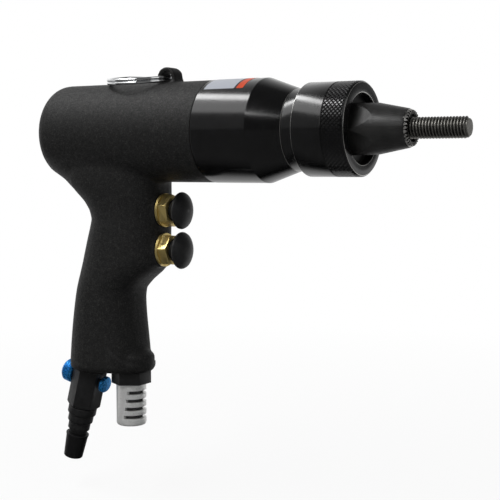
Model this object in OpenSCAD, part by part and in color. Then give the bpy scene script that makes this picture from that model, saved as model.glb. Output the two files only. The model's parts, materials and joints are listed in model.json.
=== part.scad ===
// Pistol-shaped air tool that spins a threaded mandrel to set rivet nuts.
// The origin is the centre of the nosepiece face, +X runs out along the mandrel and +Z is up.
// Stations along the barrel are negative: the further back, the lower the x value.

/* [Mandrel and nosepiece] */
// Outside diameter of the mandrel thread
mandrel_d = 10; // [8:0.5:11]
// How far the mandrel stands out of the nosepiece
mandrel_reach = 27; // [20:0.5:40]
// Chamfer on the end of the mandrel
mandrel_chamfer = 1; // [0.5:0.1:1.5]
// Diameter of the thread relief just inside the nosepiece
relief_d = 7.6; // [6.5:0.1:7.8]
// Length of the thread relief
relief_l = 2.5; // [1.5:0.5:5]
// Diameter of the mandrel head
mandrel_head_d = 16; // [14:0.5:18]
// Length of the mandrel head
mandrel_head_l = 10; // [9:0.5:14]
// Width across flats of the hexagonal drive
drive_af = 8; // [6:0.5:9]
// Depth of the drive socket in the mandrel head
drive_socket_l = 6.5; // [5:0.5:8]
// Diameter of the toothed face of the nosepiece
nose_tip_d = 16.4; // [15:0.1:18]
// Diameter of the cone just behind the toothed edge
nose_cone_front_d = 18.2; // [18:0.1:19]
// Length of the toothed edge
nose_edge_l = 2; // [0.8:0.1:2.5]
// Length from the nosepiece face to where the cone runs into the flats
nose_cone_l = 16.8; // [14:0.1:19]
// Length from the nosepiece face to the sleeve
nose_reach = 25.1; // [22:0.1:32]
// Width across flats of the nosepiece
nose_af = 24; // [24:0.5:26]
// Turn of the hexagon about the barrel axis
nose_turn = -27; // [-30:1:30]
// Length of the flange that the sleeve clamps
nose_flange_l = 4; // [3:0.5:6]
// Number of teeth round the nosepiece face
nose_teeth = 30; // [16:2:36]
// Depth of the teeth
nose_tooth_h = 1.2; // [0.5:0.1:1.5]
// Diameter of the recess inside the ring of teeth
nose_recess_d = 12.6; // [12:0.1:14]

/* [Sleeve and gear case] */
// Outside diameter of the front spigot of the gear case
case_nose_d = 36; // [36:0.5:37]
// Bore of the front spigot
case_nose_bore_d = 23; // [22:0.5:26]
// Height of the rim between sleeve and gear case over the spigot
case_rim_h = 2; // [1.5:0.1:3]
// Length of the sleeve
sleeve_l = 33.4; // [30:0.2:38]
// Wall of the sleeve round the spigot
sleeve_wall = 4.5; // [3:0.1:5]
// How far the lip of the sleeve reaches in over the nosepiece flange
sleeve_lip_h = 1.25; // [0.8:0.05:2]
// Thickness of the lip behind the mouth
sleeve_lip = 4; // [3:0.5:6]
// Length of the narrow collar at the back of the sleeve
sleeve_collar_l = 5.4; // [3:0.1:8]
// Length of the cone that steps up from the collar to the sleeve
sleeve_cone_l = 1.2; // [0.6:0.1:3]
// Chamfer on the front edge of the sleeve
sleeve_chamfer = 1; // [0.5:0.1:1.5]
// Length of the cone at the front of the gear case
case_cone_l = 16.3; // [12:0.1:20]
// Length of the gear case outside, rim to seam
case_l = 47.3; // [45:0.1:52]
// Wall of the gear case
case_wall = 3.2; // [2.4:0.1:3.2]
// Wall of the spigot that screws into the housing
spigot_wall = 1.6; // [1.2:0.1:1.8]
// Length of that spigot
spigot_l = 10; // [7:0.5:12]
// Wall between the rim and the spindle bearing
case_nose_wall = 2.8; // [2:0.1:4]

/* [Gear train] */
// Module of the teeth
gear_module = 0.8; // [0.75:0.01:0.85]
// Pressure angle of the teeth
pressure_angle = 25; // [23:0.5:26]
// Tooth thinning that gives the backlash
backlash = 0.14; // [0.1:0.01:0.2]
// Wall of the ring gear behind its teeth
ring_wall = 2.3; // [2:0.1:2.8]
// Length of the ring gear
ring_l = 13.5; // [12:0.5:16]
// Gap at each end of the planet gears
planet_end_gap = 1; // [0.7:0.1:1.5]
// Diameter of the planet pins
planet_pin_d = 4; // [3:0.2:5]
// Diameter of the planet carrier
carrier_d = 34; // [32:0.5:36]
// Thickness of the planet carrier
carrier_l = 6.5; // [5:0.5:8]
// Gap round the planet carrier
carrier_side_gap = 2; // [1:0.5:2.5]
// Diameter of the spindle
spindle_d = 14; // [13:0.5:15]
// Outside diameter of the spindle bearing
spindle_bearing_d = 30; // [28:0.5:31]
// Width of the spindle bearing
spindle_bearing_w = 9; // [7:0.5:10]

/* [Air motor] */
// Diameter of the rotor
rotor_d = 31.8; // [29:0.2:32.4]
// Length of the motor cylinder
liner_l = 50; // [40:1:60]
// Distance between the rotor axis and the cylinder bore axis
rotor_offset = 1.5; // [1:0.1:2]
// Number of vanes
vane_count = 5; // [4:1:6]
// Thickness of a vane
vane_t = 1.5; // [1.2:0.1:2]
// Depth of a vane slot
vane_slot_h = 6.9; // [5:0.1:8]
// Diameter of the rotor's front journal
front_journal_d = 12; // [11.6:0.2:13]
// Outside diameter of the front motor bearing
front_bearing_d = 24; // [22:0.5:27]
// Diameter of the rotor's rear journal
rear_journal_d = 8; // [7:0.5:9]
// Outside diameter of the rear motor bearing
rear_bearing_d = 19; // [18:0.5:22]
// Width of the motor bearings
motor_bearing_w = 6; // [5:0.5:7]
// Thickness of the front end plate
front_plate_l = 12; // [10.5:0.5:14]
// Thickness of the rear end plate
rear_plate_l = 10; // [9:0.5:13]

/* [Housing] */
// Wall of the housing barrel round the motor
barrel_wall = 3.1; // [3:0.05:4]
// Solid length of the housing behind the motor
rear_block_l = 41.8; // [38:0.2:48]
// Radius of the rear edge of the barrel
rear_round = 8; // [6:0.5:10]
// Height of the dome on the rear face
rear_dome_h = 1.5; // [0.5:0.1:3]
// Distance from the seam back to the lug
lug_back = 28.3; // [22:0.1:40]
// Length of the lug along the barrel
lug_l = 11; // [10:0.2:14]
// Thickness of the lug
lug_t = 8.5; // [6:0.5:9]
// Diameter of the hole in the lug
lug_hole_d = 6.4; // [6.4:0.2:7]
// Height of the lug hole above the barrel
lug_hole_up = 2; // [1.9:0.1:4]

/* [Grip] */
// Depth of the foot of the grip below the barrel axis
grip_h = 126.5; // [118:0.5:136]
// Width of the grip
grip_w = 34; // [30:0.5:38]
// How square the oval of the grip is
grip_square = 2.6; // [2:0.1:3]
// Depth of the neck, where the back of the grip is furthest forward
neck_drop = 46; // [42:0.5:50]
// Distance from the rear of the barrel forward to the neck
neck_ahead = 26; // [22:0.2:30]
// Curve of the back above the neck
shoulder_curve = 0.044; // [0.035:0.001:0.055]
// Lean of the back below the neck
back_lean = 0.335; // [0.25:0.005:0.38]
// Easing of that lean towards the foot
back_ease = 0.0017; // [0.0008:0.0001:0.0022]
// Distance from the neck forward to the face of the button boss
boss_ahead = 42; // [38:0.1:46]
// Distance from the neck forward to the waist below the boss
waist_ahead = 24.9; // [22:0.1:29]
// Height of the curve between boss and waist
boss_curve_h = 18.5; // [16:0.5:26]
// How far the front flares from the waist to the foot
foot_flare = 3.8; // [2:0.1:7]
// Radius of the edge of the foot
foot_round = 2.5; // [1:0.1:4]
// How much wider each side grows where the grip meets the barrel
grip_root_flare = 3; // [0:0.5:5]

/* [Button valves] */
// Depth of the upper button below the barrel axis
button_drop = 40.3; // [39:0.1:44]
// Distance between the two buttons
button_pitch = 20.6; // [20:0.1:23]
// Travel of a button
button_travel = 2.5; // [1.5:0.1:2.9]
// Diameter of a button cap
button_d = 19.2; // [16:0.2:19.6]
// Height of the dome of a cap
button_dome_h = 3.6; // [2.5:0.1:4.5]
// Thickness of the rim of a cap
button_rim_l = 1.4; // [1:0.1:3]
// Diameter of the collar behind the cap
button_collar_d = 13.6; // [12:0.1:15]
// Length of that collar
button_collar_l = 0.8; // [0.5:0.1:1.5]
// Diameter of the neck of a button
button_neck_d = 11.4; // [10:0.1:11.6]
// Length of the neck behind the cap
button_neck_l = 6.5; // [5:0.1:8]
// Gap left under the cap of a pressed button
button_stop_gap = 0.6; // [0.4:0.1:1]
// Width across flats of the bush
bush_af = 15; // [14.6:0.2:17]
// Turn of the upper bush
upper_bush_turn = 11; // [-30:1:30]
// Turn of the lower bush
lower_bush_turn = 24; // [-30:1:30]
// Length of the hexagon of the bush
bush_hex_l = 5.1; // [4:0.1:7]
// Diameter of the flange of the bush
bush_flange_d = 17.4; // [17:0.1:18.6]
// Thickness of that flange
bush_flange_l = 1.3; // [0.8:0.1:2]
// Diameter of the threaded shank of the bush
bush_shank_d = 14; // [13.6:0.1:15]
// Length of the shank
bush_shank_l = 12.5; // [11:0.5:16]
// Floor of the bush that guides the stem
bush_floor = 4; // [3:0.5:5]
// Diameter of a valve stem
stem_d = 3; // [2.4:0.2:4]
// Diameter of the poppet on the stem
poppet_d = 9; // [7:0.5:10]
// Thickness of the poppet
poppet_l = 2; // [1.5:0.1:3]
// Thickness of the poppet seal
seal_l = 1.2; // [0.8:0.1:2]
// Depth of the valve chamber from the boss face
chamber_l = 30.5; // [28:0.5:33]
// Wire diameter of the button springs
spring_wire_d = 0.9; // [0.7:0.05:1.1]
// Turns of the button springs
spring_turns = 5; // [4:0.5:6]

/* [Air inlet] */
// Distance from the neck back to the inlet axis at the foot
inlet_back = 7.1; // [4:0.1:10]
// Lean of the inlet away from the vertical
inlet_lean = 14.5; // [8:0.5:18]
// Diameter of the boss round the inlet
inlet_boss_d = 20.5; // [20:0.1:22]
// How far that boss stands out of the foot
inlet_boss_l = 1.6; // [1:0.1:3]
// Diameter of the threaded shank of the inlet body
inlet_shank_d = 14; // [12:0.5:15]
// Length of that shank
inlet_shank_l = 12; // [9:0.5:15]
// Width across flats of the inlet body
inlet_af = 16; // [15:0.5:18]
// Length of the hexagon of the inlet body
inlet_hex_l = 21.5; // [18:0.5:26]
// Diameter of the air way
air_way_d = 6.6; // [5:0.2:7]
// Depth of the regulator axis below the top of the hexagon
regulator_down = 5.1; // [4.8:0.1:9]
// Diameter of the regulator spindle
regulator_d = 7.6; // [7.2:0.1:8]
// Diameter of the neck of the regulator outside the body
regulator_neck_d = 4; // [3:0.2:5]
// Length of that neck in front of the body
regulator_neck_l = 2.6; // [2:0.1:4]
// Length of that neck behind the body
knob_neck_l = 0.6; // [0.5:0.1:4]
// Diameter of the regulator knob
knob_d = 12.8; // [11:0.2:13]
// Thickness of the knob
knob_l = 6.4; // [5:0.2:8]
// Room round the knob where the foot is cut away for it
knob_gap = 0.6; // [0.4:0.1:1.5]
// Diameter of the disc at the front of the regulator
disc_d = 9; // [8:0.2:10]
// Thickness of that disc
disc_l = 2; // [1.5:0.1:3]
// Largest ring of the stepped nipple
nipple_d = 15.6; // [15:0.1:16]
// Step in diameter from ring to ring
nipple_step = 1.8; // [1.2:0.1:2]
// Length of a ring of the nipple
nipple_ring_l = 4.6; // [3.5:0.1:6]
// Rings on the nipple
nipple_rings = 3; // [2:1:3]
// Diameter of the plug end that the hose fits on
plug_d = 8; // [7:0.2:8.4]
// Length of the plug end
plug_l = 12; // [10:0.5:15]
// Diameter of the dust cap at its rim
cap_rim_d = 12.6; // [11.6:0.1:14]
// Diameter of the dust cap at its closed end
cap_end_d = 10.4; // [10:0.1:11.4]
// Thickness of the closed end
cap_floor = 1.4; // [1:0.1:2.5]
// Radius of the edge of the closed end
cap_round = 0.8; // [0.4:0.1:1.2]

/* [Silencer] */
// Distance from the neck forward to the silencer axis
silencer_ahead = 20; // [18:0.1:23]
// Diameter of the boss round the exhaust
exhaust_boss_d = 25.2; // [24:0.2:30]
// Height of that boss
exhaust_boss_h = 8.5; // [6:0.5:12]
// Width across flats of the collar
collar_af = 18.5; // [17:0.5:20]
// Height of the collar
collar_l = 6.6; // [5:0.2:9]
// Diameter of the silencer
silencer_d = 16; // [15:0.2:16.8]
// Length of the silencer below the collar
silencer_l = 22.4; // [20:0.2:26]
// Radius of the bottom edge of the silencer
silencer_round = 1.6; // [0.8:0.1:2.2]
// Wall of the silencer
silencer_wall = 2; // [1.6:0.1:2.4]
// Diameter of the threaded shank of the silencer
silencer_shank_d = 14; // [13:0.2:14.6]
// Length of the shank in the housing
silencer_shank_l = 11; // [8:0.5:14]
// Number of slots
slot_count = 4; // [3:1:4]
// Height of a slot
slot_h = 1.9; // [1.4:0.1:2.4]
// Distance from slot to slot
slot_pitch = 4.35; // [4:0.05:4.6]
// Depth of the first slot below the collar
slot_down = 3.4; // [2.5:0.1:4.5]
// How far the first slot stays ahead of the axis
slot_ahead = 2.6; // [2:0.1:4]
// How much further each lower slot is cut
slot_deeper = 0.6; // [0:0.1:0.8]

/* [Hanging ring] */
// Outside diameter of the ring
ring_d = 37; // [30:0.5:38]
// Diameter of the ring wire
ring_wire_d = 1.7; // [1.4:0.1:1.8]
// Roll of the ring about the barrel direction
ring_roll = 7; // [0:0.5:12]

/* [Fits] */
// Radial clearance of a part that turns or slides
run_gap = 0.05; // [0.03:0.01:0.08]
// Radial clearance of a part that is pressed or screwed in
press_gap = 0.03; // [0.01:0.005:0.05]
// Radial clearance of the nosepiece flange in the sleeve
flange_gap = 0.15; // [0.1:0.05:0.3]
// Radial clearance of a part that slips into the core bore
slip_gap = 0.05; // [0.03:0.01:0.08]
// Gap between faces that turn past each other
face_gap = 0.1; // [0.08:0.01:0.2]
// Gap that shows between the sleeve and the rim of the gear case
seam_gap = 0.2; // [0.1:0.05:0.4]

/* [Hidden] */
$fn = 64;
// Overlap that makes a cut pass clean through a face
cut = 1;

// Colours
coat_black = [0.13, 0.13, 0.135];
gloss_black = [0.05, 0.05, 0.055];
satin_black = [0.09, 0.09, 0.09];
rubber_black = [0.07, 0.07, 0.07];
dark_steel = [0.27, 0.25, 0.23];
anodised_blue = [0.16, 0.45, 0.75];
blasted_grey = [0.78, 0.78, 0.77];
felt_grey = [0.25, 0.25, 0.25];

// Gear sizes
sun_teeth = 12;
planet_teeth = 18;
ring_teeth = sun_teeth + 2 * planet_teeth;
planet_count = 3;
addendum = gear_module;
dedendum = 1.25 * gear_module;
sun_pitch_r = gear_module * sun_teeth / 2;
planet_pitch_r = gear_module * planet_teeth / 2;
ring_pitch_r = gear_module * ring_teeth / 2;
planet_orbit = sun_pitch_r + planet_pitch_r;
flank_steps = 4;

// Radii of the shells round the core
core_r = ring_pitch_r + dedendum + ring_wall + slip_gap;
core_piece_r = core_r - slip_gap;
case_r = core_r + case_wall;
spigot_r = core_r + spigot_wall;
barrel_r = core_r + barrel_wall;
carrier_bore_r = carrier_d / 2 + carrier_side_gap;
sleeve_bore_r = case_nose_d / 2 + run_gap;
sleeve_r = sleeve_bore_r + sleeve_wall;
sleeve_mouth_r = sleeve_bore_r - sleeve_lip_h;
case_rim_r = case_nose_d / 2 + case_rim_h;
nose_flange_r = sleeve_bore_r - flange_gap;
mandrel_bore_r = mandrel_d / 2 + run_gap;
recess_past_teeth = 0.3;
groove_over = 0.3;
groove_top = 0.04;
nose_recess_l = nose_tooth_h + recess_past_teeth;

// Stations along the barrel, front to back
x_sleeve = -nose_reach;
x_lip = x_sleeve - sleeve_lip;
x_flange = x_lip - nose_flange_l;
thrust_washer_l = 1;
thrust_roller_d = 2;
thrust_side_gap = 1;
thrust_d = case_nose_bore_d - 2 * thrust_side_gap;
x_thrust = x_flange - thrust_washer_l;
x_turning_washer = x_thrust - thrust_roller_d - face_gap;
x_head = x_turning_washer - thrust_washer_l;
x_head_back = x_head - mandrel_head_l;
x_case = x_sleeve - sleeve_l - seam_gap;
x_bearing = x_case - case_nose_wall;
x_bearing_back = x_bearing - spindle_bearing_w;
spindle_shoulder_l = 1;
x_carrier = x_bearing_back - spindle_shoulder_l;
x_carrier_back = x_carrier - carrier_l;
carrier_back_gap = 1;
x_ring = x_carrier_back - carrier_back_gap;
x_ring_back = x_ring - ring_l;
x_planet = x_ring - planet_end_gap;
x_planet_back = x_ring_back + planet_end_gap;
x_plate_back = x_ring_back - front_plate_l;
x_liner_back = x_plate_back - liner_l;
x_core_end = x_liner_back - rear_plate_l - seam_gap;
x_seam = x_case - case_l;
x_rear = x_core_end - rear_block_l;
x_neck = x_rear + neck_ahead;
x_boss = x_neck + boss_ahead;
x_lug = x_seam - lug_back;
x_silencer = x_neck + silencer_ahead;
x_inlet = x_neck - inlet_back;
z_foot = -grip_h;
z_button = [-button_drop, -button_drop - button_pitch];
z_lug_hole = barrel_r + lug_hole_up;

// Drive
spindle_front_gap = 3;
bit_end_gap = 0.5;
bit_past_bearing = 3;
x_spindle_front = x_head_back - spindle_front_gap;
x_bit_front = x_head_back + drive_socket_l - bit_end_gap;
x_bit_back = x_bearing - bit_past_bearing;
drive_socket_af = drive_af + 2 * run_gap;

// Rotor
rotor_l = liner_l - 2 * face_gap;
x_rotor = x_plate_back - face_gap;
front_seat_drop = 1.5;
rear_seat_wall = 3.8;
journal_gap = 0.3;
vane_draw_in = 0.6;
x_front_seat = x_ring_back - front_seat_drop;
x_rear_seat = x_liner_back - rear_seat_wall;
x_rotor_tail = x_rear_seat - motor_bearing_w;
x_pinion = x_carrier_back - carrier_back_gap;
liner_bore_r = rotor_d / 2 + rotor_offset + face_gap;
vane_slot_w = vane_t + 2 * run_gap;
port_d = 3;
port_count = 5;

// Button valves, measured out of the boss face
button_gap = button_travel + button_stop_gap;
stem_cover = 0.5;
valve_boss_rim = 0.6;
valve_boss_l = boss_ahead / 4;
bush_turn = [upper_bush_turn, lower_bush_turn];
bush_front = bush_flange_l + bush_hex_l;
button_back = bush_front + button_gap;
button_tail = button_back - button_neck_l;
bush_bore_r = button_neck_d / 2 + run_gap;
bush_seat = -bush_shank_l + bush_floor;
seal_front = -bush_shank_l - face_gap;
stem_back = seal_front - seal_l - poppet_l;
stem_front = button_back - stem_cover;
valve_boss_d = bush_flange_d + 2 * valve_boss_rim;

// Inlet, measured down its own leaning axis from the foot
nipple_neck_l = 2.4;
nipple_shank_l = 8;
nipple_bore_d = 4.4;
plug_shoulder = 1;
cap_end_gap = 0.5;
regulator_way_step = 0.8;
regulator_way_d = air_way_d - 2 * regulator_way_step;
s_hex = inlet_boss_l;
s_nipple = s_hex + inlet_hex_l;
s_neck = s_nipple + nipple_rings * nipple_ring_l;
s_plug = s_neck + nipple_neck_l;
s_cap_end = s_plug + plug_l + cap_end_gap + cap_floor;

// Ring in its lug
ring_mean_r = ring_d / 2 - ring_wire_d / 2;
coil_overlap = 0.04;
ring_coil_step = (1 - coil_overlap) * ring_wire_d;

// Half angle of an involute tooth at radius r, in degrees
function involute(r, base) = tan(acos(base / r)) * 180 / PI - acos(base / r);
function tooth_half(teeth, r, thin) =
  let (
    pitch_r = gear_module * teeth / 2,
    base = pitch_r * cos(pressure_angle),
    half_pitch = 90 / teeth - thin / (2 * pitch_r) * 180 / PI
  )
  half_pitch + involute(pitch_r, base) - involute(max(r, base), base);

// Outline of a gear with a tooth on the first axis, walked tooth by tooth
function gear_outline(teeth, root, tip, thin) = [
  for (i = [0:teeth - 1])
    for (side = [-1, 1])
      for (k = [0:flank_steps])
        let (
          q = side < 0 ? k : flank_steps - k,
          r = root + (tip - root) * q / flank_steps,
          a = i * 360 / teeth + side * tooth_half(teeth, r, thin)
        )
        [r * cos(a), r * sin(a)]
];

// Smooth step from 0 to 1 as v goes from a to b
function ease(a, b, v) =
  let (t = min(1, max(0, (v - a) / (b - a))))
  t * t * (3 - 2 * t);

// Back of the grip at height z
function grip_back(z) =
  let (
    up = min(max(z + neck_drop, 0), neck_drop - barrel_r),
    down = max(-neck_drop - z, 0)
  )
  x_neck - shoulder_curve * up * up - back_lean * down + back_ease * down * down;

// Front of the grip at height z: button boss, waist, then the flare of the foot
boss_below_button = 5.2;
boss_end_z = z_button[1] - boss_below_button;
waist_z = boss_end_z - boss_curve_h;
function grip_front(z) =
  let (flare = ease(waist_z, z_foot, z) * foot_flare)
  x_boss + (waist_ahead - boss_ahead) * ease(boss_end_z, waist_z, z) + flare;

// Half width of the grip at height z
root_flare_up = 4;
function grip_half(z) = grip_w / 2 + grip_root_flare * ease(-neck_drop, root_flare_up - barrel_r, z);

// How far the edge of the foot draws in at height z
function foot_inset(z) =
  let (d = max(0, foot_round - (z - z_foot)))
  foot_round - sqrt(foot_round * foot_round - d * d);

// Rounded edge between two profile directions, centre c and radius r, from angle a to b
function arc(c, r, a, b, steps) = [
  for (i = [0:steps])
    let (t = a + (b - a) * i / steps)
    [c[0] + r * cos(t), c[1] + r * sin(t)]
];

// One closed ring of points round the grip at height z
grip_sides = 36;
function oval(v, power) = sign(v) * pow(abs(v), power);
function grip_ring(z) =
  let (
    inset = foot_inset(z),
    mid = (grip_front(z) + grip_back(z)) / 2,
    half_l = (grip_front(z) - grip_back(z)) / 2 - inset,
    half_w = grip_half(z) - inset
  )
  [
    for (i = [0:grip_sides - 1])
      let (t = i * 360 / grip_sides)
      [
        mid + half_l * oval(cos(t), 2 / grip_square),
        half_w * oval(sin(t), 2 / grip_square),
        z
      ]
  ];

// Middle of a ring of points
function middle(ring) =
  let (ones = [for (p = ring) 1])
  ones * ring / len(ring);

// Skin through equal rings of points, each end closed by a fan round its middle
module loft(rings) {
  n = len(rings[0]);
  last = len(rings) - 1;
  points = concat([for (ring = rings) for (p = ring) p], [middle(rings[0]), middle(rings[last])]);
  first_middle = n * (last + 1);
  walls = [
    for (k = [0:last - 1])
      for (i = [0:n - 1])
        let (j = (i + 1) % n)
        each [
          [k * n + i, (k + 1) * n + i, (k + 1) * n + j],
          [k * n + i, (k + 1) * n + j, k * n + j]
        ]
  ];
  ends = [
    for (i = [0:n - 1])
      let (j = (i + 1) % n)
      each [
        [first_middle, i, j],
        [first_middle + 1, last * n + j, last * n + i]
      ]
  ];
  polyhedron(points = points, faces = concat(walls, ends));
}

// Solid turned about the barrel axis from [x, radius] points
module turned(profile) {
  rotate([0, 90, 0])
    rotate_extrude()
      polygon([for (p = profile) [p[1], p[0]]]);
}

// Solid turned about the vertical axis from [radius, z] points
module turned_z(profile) {
  rotate_extrude()
    polygon(profile);
}

// Round bar along the barrel from x0 forward to x1
module bar_x(x0, x1, r) {
  translate([x0, 0, 0])
    rotate([0, 90, 0])
      cylinder(h = x1 - x0, r = r);
}

// Tube along the barrel
module tube_x(x0, x1, inner, outer) {
  turned([[x0, inner], [x1, inner], [x1, outer], [x0, outer]]);
}

// Hexagonal bar along the barrel, its flats facing sideways
module hex_x(x0, x1, af) {
  translate([x0, 0, 0])
    rotate([0, 90, 0])
      cylinder(h = x1 - x0, d = af / cos(30), $fn = 6);
}

// Prism of a gear outline along the barrel
module gear_x(x0, x1, outline) {
  translate([x0, 0, 0])
    rotate([0, 90, 0])
      linear_extrude(height = x1 - x0)
        polygon(outline);
}

// Place of planet gear i
module at_planet(i) {
  rotate([i * 360 / planet_count, 0, 0])
    translate([0, 0, -planet_orbit])
      children();
}

// Place of a button valve on the boss face
module at_valve(i) {
  translate([x_boss, 0, z_button[i]])
    children();
}

// Leaning inlet axis: local z runs up it and the foot is at zero
module at_inlet() {
  translate([x_inlet, 0, z_foot])
    rotate([0, inlet_lean, 0])
      children();
}

// Regulator axis: local x runs forward through the inlet body
module at_regulator() {
  at_inlet()
    translate([0, 0, -s_hex - regulator_down])
      children();
}

// Outer ring of a ball bearing, with its balls standing in the groove
module bearing_outer(x0, x1, inner, outer, balls) {
  pitch_r = (inner + outer) / 2;
  ball_r = 0.3 * (outer - inner);
  difference() {
    tube_x(x0, x1, pitch_r + 0.45 * ball_r, outer);
    bearing_groove(x0, x1, pitch_r, ball_r);
  }
  for (i = [0:balls - 1])
    rotate([i * 360 / balls, 0, 0])
      translate([(x0 + x1) / 2, 0, pitch_r])
        sphere(r = ball_r);
}

// Inner ring of the same bearing
module bearing_inner(x0, x1, inner, outer) {
  pitch_r = (inner + outer) / 2;
  ball_r = 0.3 * (outer - inner);
  difference() {
    tube_x(x0, x1, inner, pitch_r - 0.45 * ball_r);
    bearing_groove(x0, x1, pitch_r, ball_r);
  }
}

// Groove that the balls of a bearing run in
module bearing_groove(x0, x1, pitch_r, ball_r) {
  translate([(x0 + x1) / 2, 0, 0])
    rotate([0, 90, 0])
      rotate_extrude()
        translate([pitch_r, 0])
          circle(r = ball_r + run_gap);
}

// Cast lug on top of the barrel, its hole across the tool
module lug() {
  top_r = lug_l / 2;
  translate([x_lug, lug_t / 2, 0])
    rotate([90, 0, 0])
      linear_extrude(height = lug_t)
        union() {
          translate([0, z_lug_hole])
            circle(r = top_r);
          translate([-top_r, core_r + 1])
            square([lug_l, z_lug_hole - core_r - 1]);
        }
}

// Boss that the exhaust silencer screws into
module exhaust_boss() {
  r = exhaust_boss_d / 2;
  translate([x_silencer, 0, z_foot])
    turned_z(concat(
      [[0, 0]],
      arc([r - foot_round, foot_round], foot_round, -90, 0, 6),
      [[r, exhaust_boss_h], [r / 2, exhaust_boss_h + r / 2], [0, exhaust_boss_h + r / 2]]
    ));
}

// One-piece cast housing: barrel, grip, lug and bosses, bored for what it holds
module housing() {
  grip_top = -barrel_r / 2;
  grip_base = z_foot + foot_round;
  edge = [for (a = [0:22.5:67.5]) z_foot + foot_round * (1 - cos(a))];
  levels = [for (i = [0:24]) grip_base + (grip_top - grip_base) * i / 24];
  face_r = barrel_r - rear_round;
  x_edge = x_rear + rear_dome_h + rear_round;
  color(coat_black)
    difference() {
      union() {
        turned(concat(
          [[x_seam, 0], [x_seam, barrel_r]],
          arc([x_edge, face_r], rear_round, 90, 180, 8),
          [[x_rear + 0.25 * rear_dome_h, face_r / 2], [x_rear, 0]]
        ));
        loft([for (z = concat(edge, levels)) grip_ring(z)]);
        exhaust_boss();
        lug();
        for (i = [0, 1])
          at_valve(i)
            bar_x(-valve_boss_l, 0, valve_boss_d / 2);
        at_inlet()
          translate([0, 0, -inlet_boss_l])
            cylinder(h = inlet_shank_l, d = inlet_boss_d);
      }
      bar_x(x_core_end, x_seam + cut, core_r);
      bar_x(x_seam - spigot_l - seam_gap, x_seam + cut, spigot_r + press_gap);
      for (i = [0, 1])
        at_valve(i)
          bar_x(-chamber_l, cut, bush_shank_d / 2 + press_gap);
      at_inlet()
        translate([0, 0, -inlet_boss_l - cut])
          cylinder(h = inlet_shank_l + face_gap + cut, d = inlet_shank_d + 2 * press_gap);
      at_inlet()
        cylinder(h = (grip_h - button_drop) / cos(inlet_lean), d = air_way_d);
      at_regulator()
        bar_x(-inlet_af - knob_l, -inlet_af / 2 - knob_neck_l + knob_gap, knob_d / 2 + knob_gap);
      translate([x_silencer, 0, z_foot - cut])
        cylinder(h = silencer_shank_l + face_gap + cut, d = silencer_shank_d + 2 * press_gap);
      translate([x_lug, lug_t, z_lug_hole])
        rotate([90, 0, 0])
          cylinder(h = 2 * lug_t, d = lug_hole_d);
    }
}

// Gear case: front spigot, cone, cylinder and the spigot that screws into the housing
module gear_case() {
  nose_r = case_nose_d / 2;
  bore_r = case_nose_bore_d / 2;
  seat_r = spindle_bearing_d / 2 + press_gap;
  spigot_end = x_seam - spigot_l;
  color(gloss_black)
    turned([
      [x_flange, bore_r],
      [x_flange, nose_r],
      [x_case, nose_r],
      [x_case, case_rim_r],
      [x_case - case_cone_l, case_r],
      [x_seam, case_r],
      [x_seam, spigot_r],
      [spigot_end, spigot_r],
      [spigot_end, core_r],
      [x_ring, core_r],
      [x_ring, carrier_bore_r],
      [x_bearing_back, carrier_bore_r],
      [x_bearing_back, seat_r],
      [x_bearing, seat_r],
      [x_bearing, bore_r]
    ]);
}

// Sleeve that clamps the nosepiece to the gear case
module sleeve() {
  back = x_sleeve - sleeve_l;
  color(gloss_black)
    turned([
      [x_sleeve, sleeve_mouth_r + sleeve_chamfer / 2],
      [x_sleeve, sleeve_r - sleeve_chamfer],
      [x_sleeve - sleeve_chamfer, sleeve_r],
      [back + sleeve_collar_l + sleeve_cone_l, sleeve_r],
      [back + sleeve_collar_l, case_rim_r],
      [back, case_rim_r],
      [back, sleeve_bore_r],
      [x_lip, sleeve_bore_r],
      [x_lip, sleeve_mouth_r],
      [x_sleeve - sleeve_chamfer / 2, sleeve_mouth_r]
    ]);
}

// Nosepiece: toothed face, cone, hexagon and the flange held by the sleeve
module nosepiece() {
  tip_r = nose_tip_d / 2;
  clear_r = nose_af / 2 / cos(30) + cut;
  taper = (nose_af - nose_cone_front_d) / 2 / (nose_cone_l - nose_edge_l);
  corner_l = min(nose_cone_l + (clear_r - nose_af / 2) / taper, -x_lip - cut);
  corner_r = nose_af / 2 + taper * (corner_l - nose_cone_l);
  tooth_share = 0.9;
  tooth_w = PI * nose_recess_d / nose_teeth * tooth_share;
  // The cutters stand apart: each starts just inside the recess and ends just above the face
  groove_start = nose_recess_d / 2 - groove_over;
  groove_half = tooth_w / 2 * (nose_tooth_h + groove_top) / nose_tooth_h;
  color(satin_black)
    difference() {
      union() {
        intersection() {
          rotate([nose_turn, 0, 0])
            hex_x(x_lip, cut, nose_af);
          turned([
            [x_lip, 0],
            [0, 0],
            [0, tip_r],
            [-nose_edge_l, nose_cone_front_d / 2],
            [-corner_l, corner_r],
            [x_lip, corner_r]
          ]);
        }
        bar_x(x_flange, x_lip, nose_flange_r);
      }
      bar_x(x_flange - cut, cut, mandrel_bore_r);
      bar_x(-nose_recess_l, cut, nose_recess_d / 2);
      for (i = [0:nose_teeth - 1])
        rotate([i * 360 / nose_teeth, 0, 0])
          translate([0, 0, groove_start])
            linear_extrude(height = nose_tip_d)
              polygon([[-nose_tooth_h, 0], [groove_top, groove_half], [groove_top, -groove_half]]);
    }
}

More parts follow.
